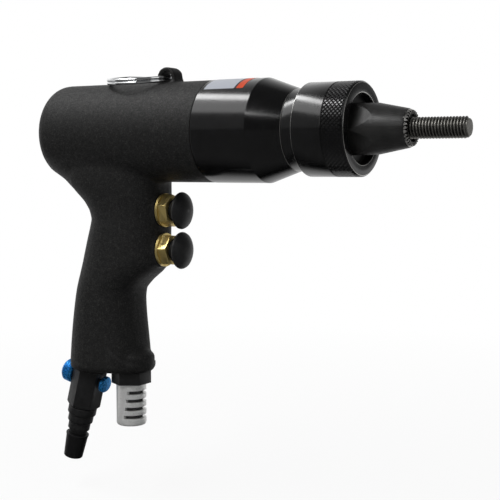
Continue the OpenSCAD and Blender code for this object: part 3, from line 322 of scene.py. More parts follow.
class Finish:
    """A material being wired: object coordinates on one side, the shader on the other."""

    def __init__(self, name, **sockets):
        self.material = bpy.data.materials.new(name)
        self.material.use_nodes = True
        self.tree = self.material.node_tree
        self.shader = self.tree.nodes["Principled BSDF"]
        self.place = self.node("ShaderNodeTexCoord").outputs["Object"]
        preset(self.shader, **sockets)

    def node(self, kind, **settings):
        node = self.tree.nodes.new(kind)
        for key, value in settings.items():
            setattr(node, key, value)
        return node

    def link(self, source, target):
        self.tree.links.new(source, target)

    def noise(self, size, detail=2.0, stretch=(1, 1, 1)):
        """Noise of a feature size in metres, drawn out along the axes by stretch."""
        mapping, noise = self.node("ShaderNodeMapping"), self.node("ShaderNodeTexNoise")
        preset(mapping, Scale=[1 / (size * s) for s in stretch])
        preset(noise, Scale=1.0, Detail=detail)
        self.link(self.place, mapping.inputs["Vector"])
        self.link(mapping.outputs["Vector"], noise.inputs["Vector"])
        return noise.outputs["Fac"]

    def blend(self, one, other, part):
        """Mixes two values; part is the other's weight."""
        mix = self.node("ShaderNodeMix", data_type="FLOAT")
        preset(mix, Factor=part)
        self.link(one, mix.inputs["A"])
        self.link(other, mix.inputs["B"])
        return mix.outputs["Result"]

    def tint(self, source, stops):
        """Colour ramp from a value to the base colour."""
        node = self.node("ShaderNodeValToRGB")
        ramp = node.color_ramp
        ramp.elements.remove(ramp.elements[1])
        ramp.elements[0].position, ramp.elements[0].color = stops[0][0], rgba(stops[0][1])
        for position, value in stops[1:]:
            ramp.elements.new(position).color = rgba(value)
        self.link(source, node.inputs["Fac"])
        self.link(node.outputs["Color"], self.shader.inputs["Base Color"])
        return ramp

    def rough(self, source, low, high):
        """Roughness between low and high, as a noise says."""
        mapped = spanned(self.tree, source, (NOISE_LOW, NOISE_HIGH), (low, high))
        self.link(mapped, self.shader.inputs["Roughness"])

    def bump(self, source, strength, depth):
        node = self.node("ShaderNodeBump")
        preset(node, Strength=strength, Distance=depth)
        self.link(source, node.inputs["Height"])
        self.link(node.outputs["Normal"], self.shader.inputs["Normal"])

    def parts(self):
        """Distances along the barrel and across it."""
        node = self.node("ShaderNodeSeparateXYZ")
        self.link(self.place, node.inputs["Vector"])
        return node.outputs

    def radius(self):
        """Distance from the barrel axis."""
        parts, flat = self.parts(), self.node("ShaderNodeCombineXYZ")
        for axis in ("Y", "Z"):
            self.link(parts[axis], flat.inputs[axis])
        size = self.node("ShaderNodeVectorMath", operation="LENGTH")
        self.link(flat.outputs["Vector"], size.inputs["Vector"])
        return size.outputs["Value"]


def shades(base, low, high):
    """Two stops of one colour, darker and lighter."""
    return [(NOISE_LOW, [c * low for c in base]), (NOISE_HIGH, [min(1.0, c * high) for c in base])]


def coat_finish(look):
    """Powder coat: a dull dark skin with light specks."""
    f = Finish("powder_coat", Specular_IOR_Level=0.27)
    fine = f.noise(look.speck_size, 3.0)
    grain = f.blend(fine, f.noise(look.speck_size * 3.2, 2.0), 0.28)
    f.tint(grain, [(0.4, look.coat), (0.56, [c * 0.35 for c in look.speck]), (0.72, look.speck)])
    f.rough(grain, 0.72, 0.48)
    f.bump(grain, 0.55, 0.22 * MM)
    return f.material


def turned_finish(name, base, roughness, relief):
    """Blackened turned metal: fine lathe lines run round the barrel axis."""
    f = Finish(name)
    marks = f.noise(0.4 * MM, 2.0, (1, 60, 60))
    cloud = f.noise(6 * MM, 3.0)
    f.tint(cloud, shades(base, 0.7, 1.5))
    f.rough(f.blend(marks, cloud, 0.4), roughness * 0.8, roughness * 1.3)
    f.bump(f.blend(marks, f.noise(1.3 * MM, 2.0), 0.55), relief, 0.03 * MM)
    return f.material


def metal_finish(name, base, roughness, size=1.2, relief=0.1, metallic=1.0, spread=0.35):
    """Bare metal with a fine grain, its size in millimetres."""
    f = Finish(name, Metallic=metallic)
    grain = f.noise(size * MM, 3.0)
    f.tint(grain, shades(base, 1 - spread * 0.6, 1 + spread * 0.4))
    f.rough(grain, roughness * 0.75, roughness * 1.3)
    f.bump(grain, relief, 0.04 * MM)
    return f.material


def soft_finish(name, base, roughness, size=1.5, relief=0.3, spread=0.3):
    """Rubber, felt or plastic with a dull grain, its size in millimetres."""
    f = Finish(name, Specular_IOR_Level=0.35)
    grain = f.noise(size * MM, 4.0)
    f.tint(grain, shades(base, 1 - spread, 1 + spread))
    f.rough(grain, roughness * 0.85, min(1.0, roughness * 1.15))
    f.bump(grain, relief, 0.08 * MM)
    return f.material


def thread_finish(look, tip_x):
    """Steel of the mandrel: painted light on the crests as a painted highlight, lighter towards the end, and
    dark in the roots as painted shade.
    """
    f = Finish("mandrel_steel", Metallic=0.85)
    grain = f.noise(0.9 * MM, 3.0)
    crest = spanned(f.tree, f.radius(), (look.tip_r - look.depth, look.tip_r), (0.15, 0.85))
    end = spanned(f.tree, f.parts()["X"], (tip_x - look.chamfer, tip_x), (0.0, 0.85))
    # Painted highlight towards the crests, lighter towards the end, painted shade in the roots
    painted_light_and_shade = f.blend(maths(f.tree, "MAXIMUM", crest, end), grain, 0.3)
    f.tint(painted_light_and_shade, [(0.2, look.root), (0.75, look.crest)])
    f.rough(grain, 0.34, 0.52)
    f.bump(grain, 0.15, 0.04 * MM)
    return f.material


def sticker_finish(look):
    """Printed sticker: blank paper, a bare strip, then the band."""
    f = Finish("sticker_print", Specular_IOR_Level=0.2)
    span = look.back - look.front
    paper_end = 1 - (look.band_width + look.gap) / span
    band_start = 1 - look.band_width / span
    bare = [c * 0.03 for c in look.paper]
    forward = spanned(f.tree, f.parts()["X"], (-look.back, -look.front))
    ramp = f.tint(forward, [(0.0, look.paper), (paper_end, bare), (band_start, look.band)])
    ramp.interpolation = "CONSTANT"
    grain = f.noise(3 * MM, 3.0)
    f.rough(grain, 0.32, 0.46)
    f.bump(grain, 0.05, 0.05 * MM)
    return f.material


# Meshes

def strip(bm, profile):
    """Corners and edges along [x, radius] points in metres."""
    verts = [bm.verts.new((x, 0, r)) for x, r in profile]
    return verts, [bm.edges.new(pair) for pair in zip(verts, verts[1:])]


def spun(bm, geom, axis, turn, steps, lift=0.0, merge=False):
    """Spins geometry about an axis, lifted along it at each step, and returns the last copy."""
    made = bmesh.ops.spin(bm, geom=geom, cent=(0, 0, 0), axis=axis, dvec=axis * lift, angle=turn,
                          steps=steps, use_merge=merge, use_normal_flip=False, use_duplicate=False)
    return made["geom_last"]


def ring_of(profile, closed, steps):
    """Solid turned about the barrel axis from [x, radius] points in metres."""
    bm = bmesh.new()
    verts, edges = strip(bm, profile)
    if closed:
        edges.append(bm.edges.new((verts[-1], verts[0])))
    spun(bm, verts + edges, X_AXIS, math.tau, steps, merge=True)
    settle(bm)
    return bm


def band(start, end, radius, rows):
    """Profile points of a band, from start to end."""
    return [(start + (end - start) * i / rows, radius) for i in range(rows + 1)]


def turn_out(bm):
    """Turns every face outwards."""
    bmesh.ops.recalc_face_normals(bm, faces=bm.faces)


def settle(bm):
    """Merges doubles, then turns every face outwards."""
    bmesh.ops.remove_doubles(bm, verts=bm.verts, dist=WELD)
    bmesh.ops.dissolve_degenerate(bm, dist=WELD / 4, edges=bm.edges)
    turn_out(bm)


def edges_in(geom):
    return [e for e in geom if isinstance(e, bmesh.types.BMEdge)]


def edges_of(verts):
    return list(dict.fromkeys(e for v in verts for e in v.link_edges))


def cut_off(bm, station, side, near):
    """Cuts off what lies beyond a station along the barrel and returns the rim that is left."""
    cut = bmesh.ops.bisect_plane(bm, geom=bm.verts[:] + bm.edges[:] + bm.faces[:], dist=near,
                                 plane_co=(station, 0, 0), plane_no=X_AXIS * side, clear_outer=True)
    return edges_in(cut["geom_cut"])


def node_copy(node):
    """Copy of a solid's mesh with its triangles joined, flat faces made whole and no loop layers."""
    bm = bmesh.new()
    bm.from_mesh(frame["nodes"][node].data)
    for layer in list(bm.loops.layers.float_vector):
        bm.loops.layers.float_vector.remove(layer)
    bmesh.ops.remove_doubles(bm, verts=bm.verts, dist=WELD)
    bmesh.ops.dissolve_limit(bm, angle_limit=math.radians(0.6), use_dissolve_boundaries=False,
                             verts=bm.verts, edges=bm.edges, delimit=set())
    return bm


def ease(bm, width, sharper_than=28, chosen=lambda edge: True):
    """Rounds the sharp edges, their angle in degrees, and returns the faces made."""
    edges = [
        e for e in bm.edges
        if len(e.link_faces) == 2 and e.calc_face_angle(0) > math.radians(sharper_than) and chosen(e)
    ]
    made = bmesh.ops.bevel(bm, geom=edges, offset=width, offset_type="OFFSET", segments=2,
                           profile=0.5, affect="EDGES", clamp_overlap=True, material=-1,
                           loop_slide=True)
    return made["faces"]


def knurl(bm, start, end, radius, flank, depth):
    """Cuts crossing grooves into the faces of a turned band, leaving a flat land on each diamond."""
    faces = [f for f in bm.faces if on_band(f, start, end, radius)]
    inside = set(faces)
    rungs = [e for e in bm.edges if len(e.link_faces) == 2 and inside.issuperset(e.link_faces)]
    bmesh.ops.poke(bm, faces=faces)
    bmesh.ops.dissolve_edges(bm, edges=rungs, use_verts=False, use_face_split=False)
    diamonds = [f for f in bm.faces if on_band(f, start, end, radius)]
    grooves = {v for f in diamonds for v in f.verts}
    bmesh.ops.inset_individual(bm, faces=diamonds, thickness=flank, depth=0.0, use_even_offset=True)
    for v in grooves:
        flat = Vector((0, v.co.y, v.co.z))
        v.co -= flat.normalized() * depth


def on_band(face, start, end, radius):
    near = 0.02 * radius
    return all(start - WELD < v.co.x < end + WELD and abs(math.hypot(v.co.y, v.co.z) - radius) < near
               for v in face.verts)


def steady(part):
    """Runs softly from 0 to 1."""
    part = min(max(part, 0.0), 1.0)
    return part * part * (3 - 2 * part)


# Pieces

def joint(name):
    return next(j for j in frame["joints"] if j["name"] == name)


def body_of(node):
    return frame["nodes"][node]["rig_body"]


def slot_of(node):
    return next(s["material_slot"] for s in frame["record"]["subparts"] if s["node"] == node)


def paint(faces, index):
    for face in faces:
        face.material_index = index


def piece(name, bm, materials, node, sharp=32, stands_for=True):
    """Makes a finished object of a bmesh, shaded smooth, with a node's body, and standing for it."""
    mesh = bpy.data.meshes.new(name)
    bm.to_mesh(mesh)
    bm.free()
    for material in materials:
        mesh.materials.append(material)
    mesh.polygons.foreach_set("use_smooth", [True] * len(mesh.polygons))
    mesh.set_sharp_from_angle(angle=math.radians(sharp))
    obj = bpy.data.objects.new(name, mesh)
    bpy.context.scene.collection.objects.link(obj)
    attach(obj, body_of(node))
    if stands_for:
        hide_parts(node)
    return obj


def eased_piece(name, node, width, materials, second=None, sharp=32, chosen=lambda edge: True):
    """A solid's copy with rounded edges, standing for it; second picks the second material's faces."""
    bm = node_copy(node)
    ease(bm, width, chosen=chosen)
    if second:
        paint([f for f in bm.faces if second(f.calc_center_median(), f.normal)], 1)
    return piece(name, bm, materials, node, sharp)


# Operators

class RNT_OT_housing(Operator):
    """Coated casting with soft edges and a fillet where the grip meets the barrel"""
    bl_idname = "rnt.housing"
    bl_label = "Housing"

    # How far a face looks sideways before it stands out below the ridge
    SIDEWAYS = 0.45

    def execute(self, context):
        look = context.scene.rnt_housing
        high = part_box("housing")[1]
        seam, barrel_r = high.x, high.y
        bm = node_copy("housing")
        for v in bm.verts:
            if v.co.x > seam - look.grain:
                v.co.x += look.spare
        bm = self.remeshed(bm, look.grain)
        self.smooth(bm, bm.verts[:], look.ease_passes)
        self.smooth(bm, self.root(bm, look, barrel_r), look.fillet_passes)
        self.smooth(bm, self.heel(bm, look, barrel_r), look.heel_passes)
        bm.normal_update()
        self.raise_ridge(bm, context.scene.rnt_foot)
        bmesh.ops.bridge_loops(bm, edges=cut_off(bm, seam, 1, WELD))
        turn_out(bm)
        piece("housing_skin", bm, [coat_finish(look)], "housing", sharp=50)
        return {"FINISHED"}

    @staticmethod
    def remeshed(bm, grain):
        """The same form in faces of one size, so that it can be smoothed."""
        mesh = bpy.data.meshes.new("housing_draft")
        bm.to_mesh(mesh)
        bm.free()
        draft = bpy.data.objects.new("housing_draft", mesh)
        bpy.context.scene.collection.objects.link(draft)
        modifier = draft.modifiers.new("skin", "REMESH")
        modifier.mode = "VOXEL"
        modifier.voxel_size = grain
        view = bpy.context.evaluated_depsgraph_get()
        skin = bmesh.new()
        skin.from_object(draft, view)
        bpy.data.objects.remove(draft)
        bpy.data.meshes.remove(mesh)
        return skin

    @staticmethod
    def smooth(bm, verts, count):
        for _ in range(count):
            bmesh.ops.smooth_vert(bm, verts=verts, factor=0.5, use_axis_x=True, use_axis_y=True,
                                  use_axis_z=True)

    @staticmethod
    def root(bm, look, barrel_r):
        """Corners where the grip comes out of the barrel."""
        found = []
        for v in bm.verts:
            out = math.hypot(v.co.y, v.co.z) - barrel_r
            beside = -look.fillet_reach / 2 < out < look.fillet_reach
            if beside and v.co.z < -look.fillet_drop and v.co.x < -look.fillet_back:
                found.append(v)
        return found

    @staticmethod
    def heel(bm, look, barrel_r):
        """Corners where the grip's back runs into the barrel's rounded end."""
        least_r = barrel_r - look.fillet_reach
        return [v for v in bm.verts
                if -look.heel_foot < v.co.z < -look.heel_top and v.co.x < -look.heel_back
                and math.hypot(v.co.y, v.co.z) > least_r]

    def raise_ridge(self, bm, look):
        """Lets the foot's sides stand out below a ridge that dips towards the exhaust."""
        low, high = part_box("silencer_collar")
        middle, bore_r, foot = (low.x + high.x) / 2, high.y, high.z
        dip_x, dip_z = middle + look.ahead, foot + look.lift
        for v in bm.verts:
            if v.co.z > foot + look.top or math.hypot(v.co.x - middle, v.co.y) < bore_r:
                continue
            span = look.rear if v.co.x < dip_x else look.front
            line = dip_z + look.drop * ((v.co.x - dip_x) / span) ** 2
            below = steady((line - v.co.z) / look.soft)
            ahead = steady((v.co.x - middle + look.fade_back) / look.fade)
            beside = steady(abs(v.normal.y) / self.SIDEWAYS - 1)
            v.co += Vector((v.normal.x, v.normal.y, 0)) * (look.stand * below * ahead * beside)


class RNT_OT_gear_case(Operator):
    """Gloss black gear case whose front rim is painted bare steel, for wear and as a painted highlight"""
    bl_idname = "rnt.gear_case"
    bl_label = "Gear case"

    def execute(self, context):
        look = context.scene.rnt_front
        bm = node_copy("gear_case")
        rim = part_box("sleeve")[0].x
        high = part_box("housing")[1]
        seam, spigot_r = high.x, high.y - look.seam_depth
        for v in bm.verts:
            if abs(v.co.x - seam) < WELD and math.hypot(v.co.y, v.co.z) > spigot_r:
                v.co.x += look.seam_gap
        edges = ease(bm, look.edge)
        # Painted highlight: the rounded faces at the case's front take bare steel, which stands for wear and
        # for the rim's highlight
        paint([f for f in edges if f.calc_center_median().x > rim - look.rim_wear_glint], 1)
        gloss = turned_finish("gloss_black", look.gloss, roughness=0.16, relief=0.06)
        worn_glint = metal_finish("worn_edge", look.worn_glint, roughness=0.3)
        piece("gear_case_shell", bm, [gloss, worn_glint], "gear_case", sharp=12)
        return {"FINISHED"}


class RNT_OT_sleeve(Operator):
    """Gloss black sleeve with a diamond knurl behind its front edge, whose rims are painted bare steel for
    wear and as a painted highlight
    """
    bl_idname = "rnt.sleeve"
    bl_label = "Sleeve"

    # Radius of the mouth and of the bore, length of the lip, radius and length of the rear collar, its cone
    MOUTH, BORE, LIP, COLLAR_R, COLLAR, CONE = (v * MM for v in (16.8, 18.05, 4.0, 20.0, 5.4, 1.2))

    def execute(self, context):
        look = context.scene.rnt_front
        low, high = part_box("sleeve")
        radius, front, back = high.y, high.x, low.x
        mouth_edge = self.MOUTH + look.chamfer / 2
        collar, cone = back + self.COLLAR, back + self.COLLAR + self.CONE
        start = front - look.chamfer - 2 * look.edge
        end = start - look.knurl_width
        count = round(math.tau * radius / look.knurl_pitch)
        rows = round(look.knurl_width / look.knurl_pitch)
        profile = [(front, mouth_edge), (front, radius - look.chamfer), (front - look.chamfer, radius)]
        profile += band(start, end, radius, rows)
        profile += [(end - 2 * look.edge, radius), (cone, radius), (collar, self.COLLAR_R)]
        profile += [(back, self.COLLAR_R), (back, self.BORE), (front - self.LIP, self.BORE)]
        profile += [(front - self.LIP, self.MOUTH), (front - look.chamfer / 2, self.MOUTH)]
        bm = ring_of(profile, True, count)
        ease(bm, look.edge, chosen=lambda e: not self.knurled(e, start, end, radius))
        knurl(bm, end, start, radius, look.knurl_groove, look.knurl_depth)
        rims = ((front, radius - look.chamfer), (front, mouth_edge), (cone, radius))
        # Painted highlight: the rounds along the front rims and the rear cone take bare steel, standing for
        # wear and for the edges' highlights
        paint([f for f in bm.faces if self.worn_glint(f.calc_center_median(), rims, look.edge)], 1)
        gloss = turned_finish("sleeve_black", look.gloss, roughness=0.17, relief=0.06)
        worn_glint = metal_finish("sleeve_worn", look.worn_glint, roughness=0.3)
        piece("sleeve_knurled", bm, [gloss, worn_glint], "sleeve", sharp=20)
        return {"FINISHED"}

    @staticmethod
    def knurled(edge, start, end, radius):
        """Whether an edge lies in the band that is to be knurled."""
        return all(end - WELD < v.co.x < start + WELD and math.hypot(v.co.y, v.co.z) > radius - WELD
                   for v in edge.verts)

    @staticmethod
    def worn_glint(place, rims, edge):
        """Narrow rounds along the rims, given as station and radius, which are painted bare steel for wear
        and as a painted highlight.
        """
        out = math.hypot(place.y, place.z)
        return any(math.hypot(place.x - x, out - r) < 0.75 * edge for x, r in rims)


class RNT_OT_nosepiece(Operator):
    """Satin black nosepiece whose teeth are painted bright, for wear and as painted glints"""
    bl_idname = "rnt.nosepiece"
    bl_label = "Nosepiece"

    # How far a tooth's face looks round the axis to be a flank, and forward to be painted bright, for wear
    # and as a painted glint
    FLANK, FACE = 0.25, 0.2

    def execute(self, context):
        look = context.scene.rnt_front

        def worn_glint(place, normal):
            """Lands of the teeth, painted bright for wear and as painted glints, and not the flanks of the
            grooves between them.
            """
            around = Vector((0, -place.z, place.y)).normalized()
            land = abs(normal.dot(around)) < self.FLANK and normal.x > self.FACE
            return land and place.x > -look.tooth_wear_glint

        satin = turned_finish("nose_black", look.satin, roughness=0.42, relief=0.08)
        # Bright steel on the teeth's lands: wear, and painted glints
        bare = metal_finish("nose_worn", look.worn_glint, roughness=0.32)
        eased_piece("nosepiece_eased", "nosepiece", look.nose_edge, [satin, bare], worn_glint, sharp=5)
        return {"FINISHED"}


class RNT_OT_mandrel(Operator):
    """Mandrel with its rolled thread, relief, head and drive socket"""
    bl_idname = "rnt.mandrel"
    bl_label = "Mandrel"

    # Radius and length of the relief, radius of the head, depth and half width of the socket, eased edge
    RELIEF_R, RELIEF, HEAD_R, SOCKET, SOCKET_R, EDGE = (v * MM for v in (3.8, 2.5, 8.0, 6.5, 4.05, 0.15))

    def execute(self, context):
        look = context.scene.rnt_mandrel
        low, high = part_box("mandrel")
        bm = self.thread(look, -look.inside, high.x)
        self.shank(bm, low.x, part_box("thrust_washer")[0].x, look.tip_r)
        piece("mandrel_threaded", bm, [thread_finish(look, high.x)], "mandrel", sharp=24)
        return {"FINISHED"}

    @staticmethod
    def thread(look, start, end):
        """Thread from start to end, with a chamfer at its end and both ends closed."""
        bm = bmesh.new()
        p, tip_r = look.pitch, look.tip_r
        root_r = tip_r - look.depth
        turns = math.ceil((end - start) / p) + 2
        shape = [(0, root_r), (p / 4, root_r), (p * 9 / 16, tip_r), (p * 11 / 16, tip_r), (p, root_r)]
        verts, edges = strip(bm, [(start - p + x, r) for x, r in shape])
        spun(bm, verts + edges, X_AXIS, math.tau * turns, TURN_STEPS * turns, p / TURN_STEPS)
        bmesh.ops.remove_doubles(bm, verts=bm.verts, dist=WELD)
        for v in bm.verts:
            flat = Vector((0, v.co.y, v.co.z))
            most = max(end - v.co.x, 0) + tip_r - look.chamfer
            if flat.length > most:
                v.co -= flat * (1 - most / flat.length)
        for station, side in ((end, 1), (start, -1)):
            bmesh.ops.contextual_create(bm, geom=cut_off(bm, station, side, WELD / 4))
        turn_out(bm)
        return bm

    def shank(self, bm, back, head, r):
        """Adds what stays inside: the relief, the shank and the head with its hexagon socket."""
        rise = r - self.RELIEF_R
        profile = [(0.0, 0.0), (0.0, self.RELIEF_R), (-self.RELIEF, self.RELIEF_R), (-self.RELIEF - rise, r),
                   (head, r), (head, self.HEAD_R), (back, self.HEAD_R)]
        rest = ring_of(profile, False, TURN_STEPS)
        rim = [e for e in rest.edges if e.is_boundary]
        stand = Matrix.Translation((back, 0, 0)) @ Matrix.Rotation(math.pi / 2, 4, "Y")
        corner_r = self.SOCKET_R / math.cos(math.pi / 6)
        hexagon = bmesh.ops.create_circle(rest, cap_ends=False, segments=6, radius=corner_r, matrix=stand)
        six = edges_of(hexagon["verts"])
        bmesh.ops.bridge_loops(rest, edges=rim + six)
        grown = bmesh.ops.extrude_edge_only(rest, edges=six)["geom"]
        deep = [v for v in grown if isinstance(v, bmesh.types.BMVert)]
        bmesh.ops.translate(rest, verts=deep, vec=(self.SOCKET, 0, 0))
        bmesh.ops.contextual_create(rest, geom=[e for e in edges_in(grown) if e.is_boundary])
        settle(rest)
        ease(rest, self.EDGE, sharper_than=40)
        mesh = bpy.data.meshes.new("shank_draft")
        rest.to_mesh(mesh)
        rest.free()
        bm.from_mesh(mesh)
        bpy.data.meshes.remove(mesh)


class RNT_OT_buttons(Operator):
    """Rubber button caps"""
    bl_idname = "rnt.buttons"
    bl_label = "Buttons"

    def execute(self, context):
        look = context.scene.rnt_trim
        rubber = soft_finish("button_rubber", look.rubber, roughness=0.46, size=1.1, relief=0.12)
        for side in ("upper", "lower"):
            eased_piece(side + "_button_cap", side + "_button", look.cap_edge, [rubber])
        return {"FINISHED"}


class RNT_OT_springs(Operator):
    """Return springs, each with a mesh of its own"""
    bl_idname = "rnt.springs"
    bl_label = "Return springs"

    def execute(self, context):
        steel = metal_finish("spring_wire", context.scene.rnt_trim.spring, roughness=0.28)
        for side in ("upper", "lower"):
            node = side + "_button_spring"
            coil = piece(side + "_spring_coil", node_copy(node), [steel], node, sharp=40)
            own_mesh(coil)
        return {"FINISHED"}


class RNT_OT_bushes(Operator):
    """Polished brass bushes of the buttons"""
    bl_idname = "rnt.bushes"
    bl_label = "Valve bushes"

    def execute(self, context):
        look = context.scene.rnt_trim
        brass = metal_finish("polished_brass", look.brass, roughness=0.36, size=4, relief=0.04, metallic=0.9,
                             spread=0.08)
        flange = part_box("upper_valve_bush")[1].x - look.hexagon
        for side in ("upper", "lower"):
            eased_piece(side + "_bush_eased", side + "_valve_bush", look.edge, [brass],
                        chosen=lambda e: all(abs(v.co.x - flange) > WELD for v in e.verts))
        return {"FINISHED"}


class RNT_OT_hang_ring(Operator):
    """Split ring of two coils with a step from one to the other"""
    bl_idname = "rnt.hang_ring"
    bl_label = "Hanging ring"

    # Faces round the wire, along a coil and along the step
    WIRE_SIDES, COIL_STEPS, JOG_STEPS = 20, 90, 18

    def execute(self, context):
        look = context.scene.rnt_trim
        mean = (look.ring - look.wire) / 2
        coil = (math.tau - look.jog_width, self.COIL_STEPS, 0)
        jog = (look.jog_width, self.JOG_STEPS, look.coil_step)
        bm = bmesh.new()
        stand = Matrix.Translation((mean, 0, -look.coil_step / 2)) @ Matrix.Rotation(math.pi / 2, 4, "X")
        end = bmesh.ops.create_circle(bm, cap_ends=True, segments=self.WIRE_SIDES, radius=look.wire / 2,
                                      matrix=stand)
        loop = edges_of(end["verts"])
        for turn, steps, rise in (coil, jog, coil):
            verts = list(dict.fromkeys(v for e in loop for v in e.verts))
            loop = edges_in(spun(bm, verts + loop, Z_AXIS, turn, steps, rise / steps))
        bmesh.ops.contextual_create(bm, geom=loop)
        turn_out(bm)
        ease(bm, look.edge, sharper_than=50)
        hung = Matrix.Translation(joint("ring_swing")["pos_m"]) @ Matrix.Rotation(look.roll, 4, "X")
        turned = Matrix.Rotation(look.jog + look.jog_width / 2, 4, "Z")
        bmesh.ops.transform(bm, matrix=hung @ Matrix.Translation((-mean, 0, 0)) @ turned, verts=bm.verts)
        chrome = metal_finish("ring_chrome", look.chrome, roughness=0.09, size=2, relief=0.03, spread=0.12)
        piece("split_ring", bm, [chrome], "hang_ring", sharp=40)
        return {"FINISHED"}


class RNT_OT_inlet(Operator):
    """Inlet body, stepped nipple, dust cap and the blue regulator"""
    bl_idname = "rnt.inlet"
    bl_label = "Air inlet"

    # Near end, far end and bore end of the knob along its spindle, then its radius, chamfer and bore radius
    NEAR, FAR, HOLE, RADIUS, CHAMFER, BORE = (v * MM for v in (-8.6, -15.0, -11.9, 6.4, 1.02, 2.03))

    def execute(self, context):
        look = context.scene.rnt_inlet
        turn = joint("regulator_turn")
        middle, forward = Vector(turn["pos_m"]), Vector(turn["axis"])

        def painted_shade_behind_disc(place, normal):
            """The neck and the spindle, painted black as painted shade."""
            return (place - middle).dot(forward) < look.disc_back

        black = soft_finish("inlet_black", look.black, roughness=0.52, size=1.6, relief=0.12)
        rubber = soft_finish("cap_rubber", look.cap, roughness=0.5, size=1.2, relief=0.15)
        blue = metal_finish("blue_anodised", look.blue, roughness=0.28, size=0.8, relief=0.12, metallic=0.7,
                            spread=0.5)
        eased_piece("inlet_body_eased", "inlet_body", look.edge, [black])
        eased_piece("inlet_nipple_eased", "inlet_nipple", look.edge, [black])
        eased_piece("dust_cap_eased", "dust_cap", look.edge, [rubber])
        # Painted shade: behind the disc the regulator is painted black, for the shade on its neck
        eased_piece("regulator_disc", "regulator_spindle", look.edge, [blue, black], painted_shade_behind_disc)
        bm = self.knob(look)
        axes = Matrix((forward, Y_AXIS, forward.cross(Y_AXIS))).transposed().to_4x4()
        bmesh.ops.transform(bm, matrix=Matrix.Translation(middle) @ axes, verts=bm.verts)
        piece("regulator_knob_knurled", bm, [blue], "regulator_knob", sharp=15)
        return {"FINISHED"}

    def knob(self, look):
        """Knurled knob with its blind bore, lying behind the origin."""
        start, end, end_r = self.NEAR - self.CHAMFER, self.FAR + self.CHAMFER, self.RADIUS - self.CHAMFER
        count = round(math.tau * self.RADIUS / look.knurl_pitch)
        rows = round((start - end) / look.knurl_pitch)
        profile = [(self.HOLE, 0.0), (self.HOLE, self.BORE), (self.NEAR, self.BORE), (self.NEAR, end_r)]
        profile += band(start, end, self.RADIUS, rows) + [(self.FAR, end_r), (self.FAR, 0.0)]
        bm = ring_of(profile, False, count)
        knurl(bm, end, start, self.RADIUS, look.knurl_groove, look.knurl_depth)
        return bm


class RNT_OT_silencer(Operator):
    """Blasted aluminium silencer and its black collar"""
    bl_idname = "rnt.silencer"
    bl_label = "Silencer"

    def execute(self, context):
        look = context.scene.rnt_silencer
        metal = metal_finish("blasted_aluminium", look.metal, roughness=0.36, size=0.6, relief=0.3,
                             metallic=0.6, spread=0.14)
        black = soft_finish("collar_black", context.scene.rnt_inlet.black, roughness=0.45, size=1.6,
                            relief=0.12)
        eased_piece("silencer_slotted", "silencer", look.edge, [metal])
        eased_piece("silencer_collar_eased", "silencer_collar", 0.75 * look.edge, [black])
        return {"FINISHED"}


class RNT_OT_sticker(Operator):
    """Blank sticker with an orange band, wrapped over the gear case"""
    bl_idname = "rnt.sticker"
    bl_label = "Sticker"

    # Faces along the case and round it
    ALONG, ROUND = 24, 40

    def execute(self, context):
        look = context.scene.rnt_sticker
        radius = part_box("gear_case")[1].y + look.clear
        bm = bmesh.new()
        verts, edges = strip(bm, band(-look.back, -look.front, radius, self.ALONG))
        bmesh.ops.transform(bm, matrix=Matrix.Rotation(math.pi / 2 - look.low, 4, "X"), verts=bm.verts)
        spun(bm, verts + edges, -X_AXIS, look.high - look.low, self.ROUND)
        turn_out(bm)
        if next(iter(bm.faces)).normal.z < 0:
            bmesh.ops.reverse_faces(bm, faces=bm.faces)
        bmesh.ops.solidify(bm, geom=bm.faces[:], thickness=-look.thick)
        turn_out(bm)
        piece("case_sticker", bm, [sticker_finish(look)], "gear_case", stands_for=False)
        return {"FINISHED"}


class RNT_OT_inner_works(Operator):
    """Finishes of the motor, gears, bearings and valves inside"""
    bl_idname = "rnt.inner_works"
    bl_label = "Inner works"

    def execute(self, context):
        look = context.scene.rnt_inner
        finishes = {
            "bearing_steel": metal_finish("bearing_steel", look.bearing, roughness=0.22),
            "gear_steel": metal_finish("gear_steel", look.gear, roughness=0.34),
            "motor_iron": metal_finish("motor_iron", look.iron, roughness=0.45),
            "mandrel_steel": metal_finish("bit_steel", look.bit, roughness=0.4),
            "vane_fibre": soft_finish("vane_fibre", look.fibre, roughness=0.6),
            "seal_rubber": soft_finish("seal_rubber", look.seal, roughness=0.6),
            "felt": soft_finish("felt_grey", look.felt, roughness=0.95, size=0.6, relief=0.8, spread=0.5),
        }
        for name, node in frame["nodes"].items():
            if not node.hide_render:
                node.data.materials.clear()
                node.data.materials.append(finishes[slot_of(name)])
        return {"FINISHED"}


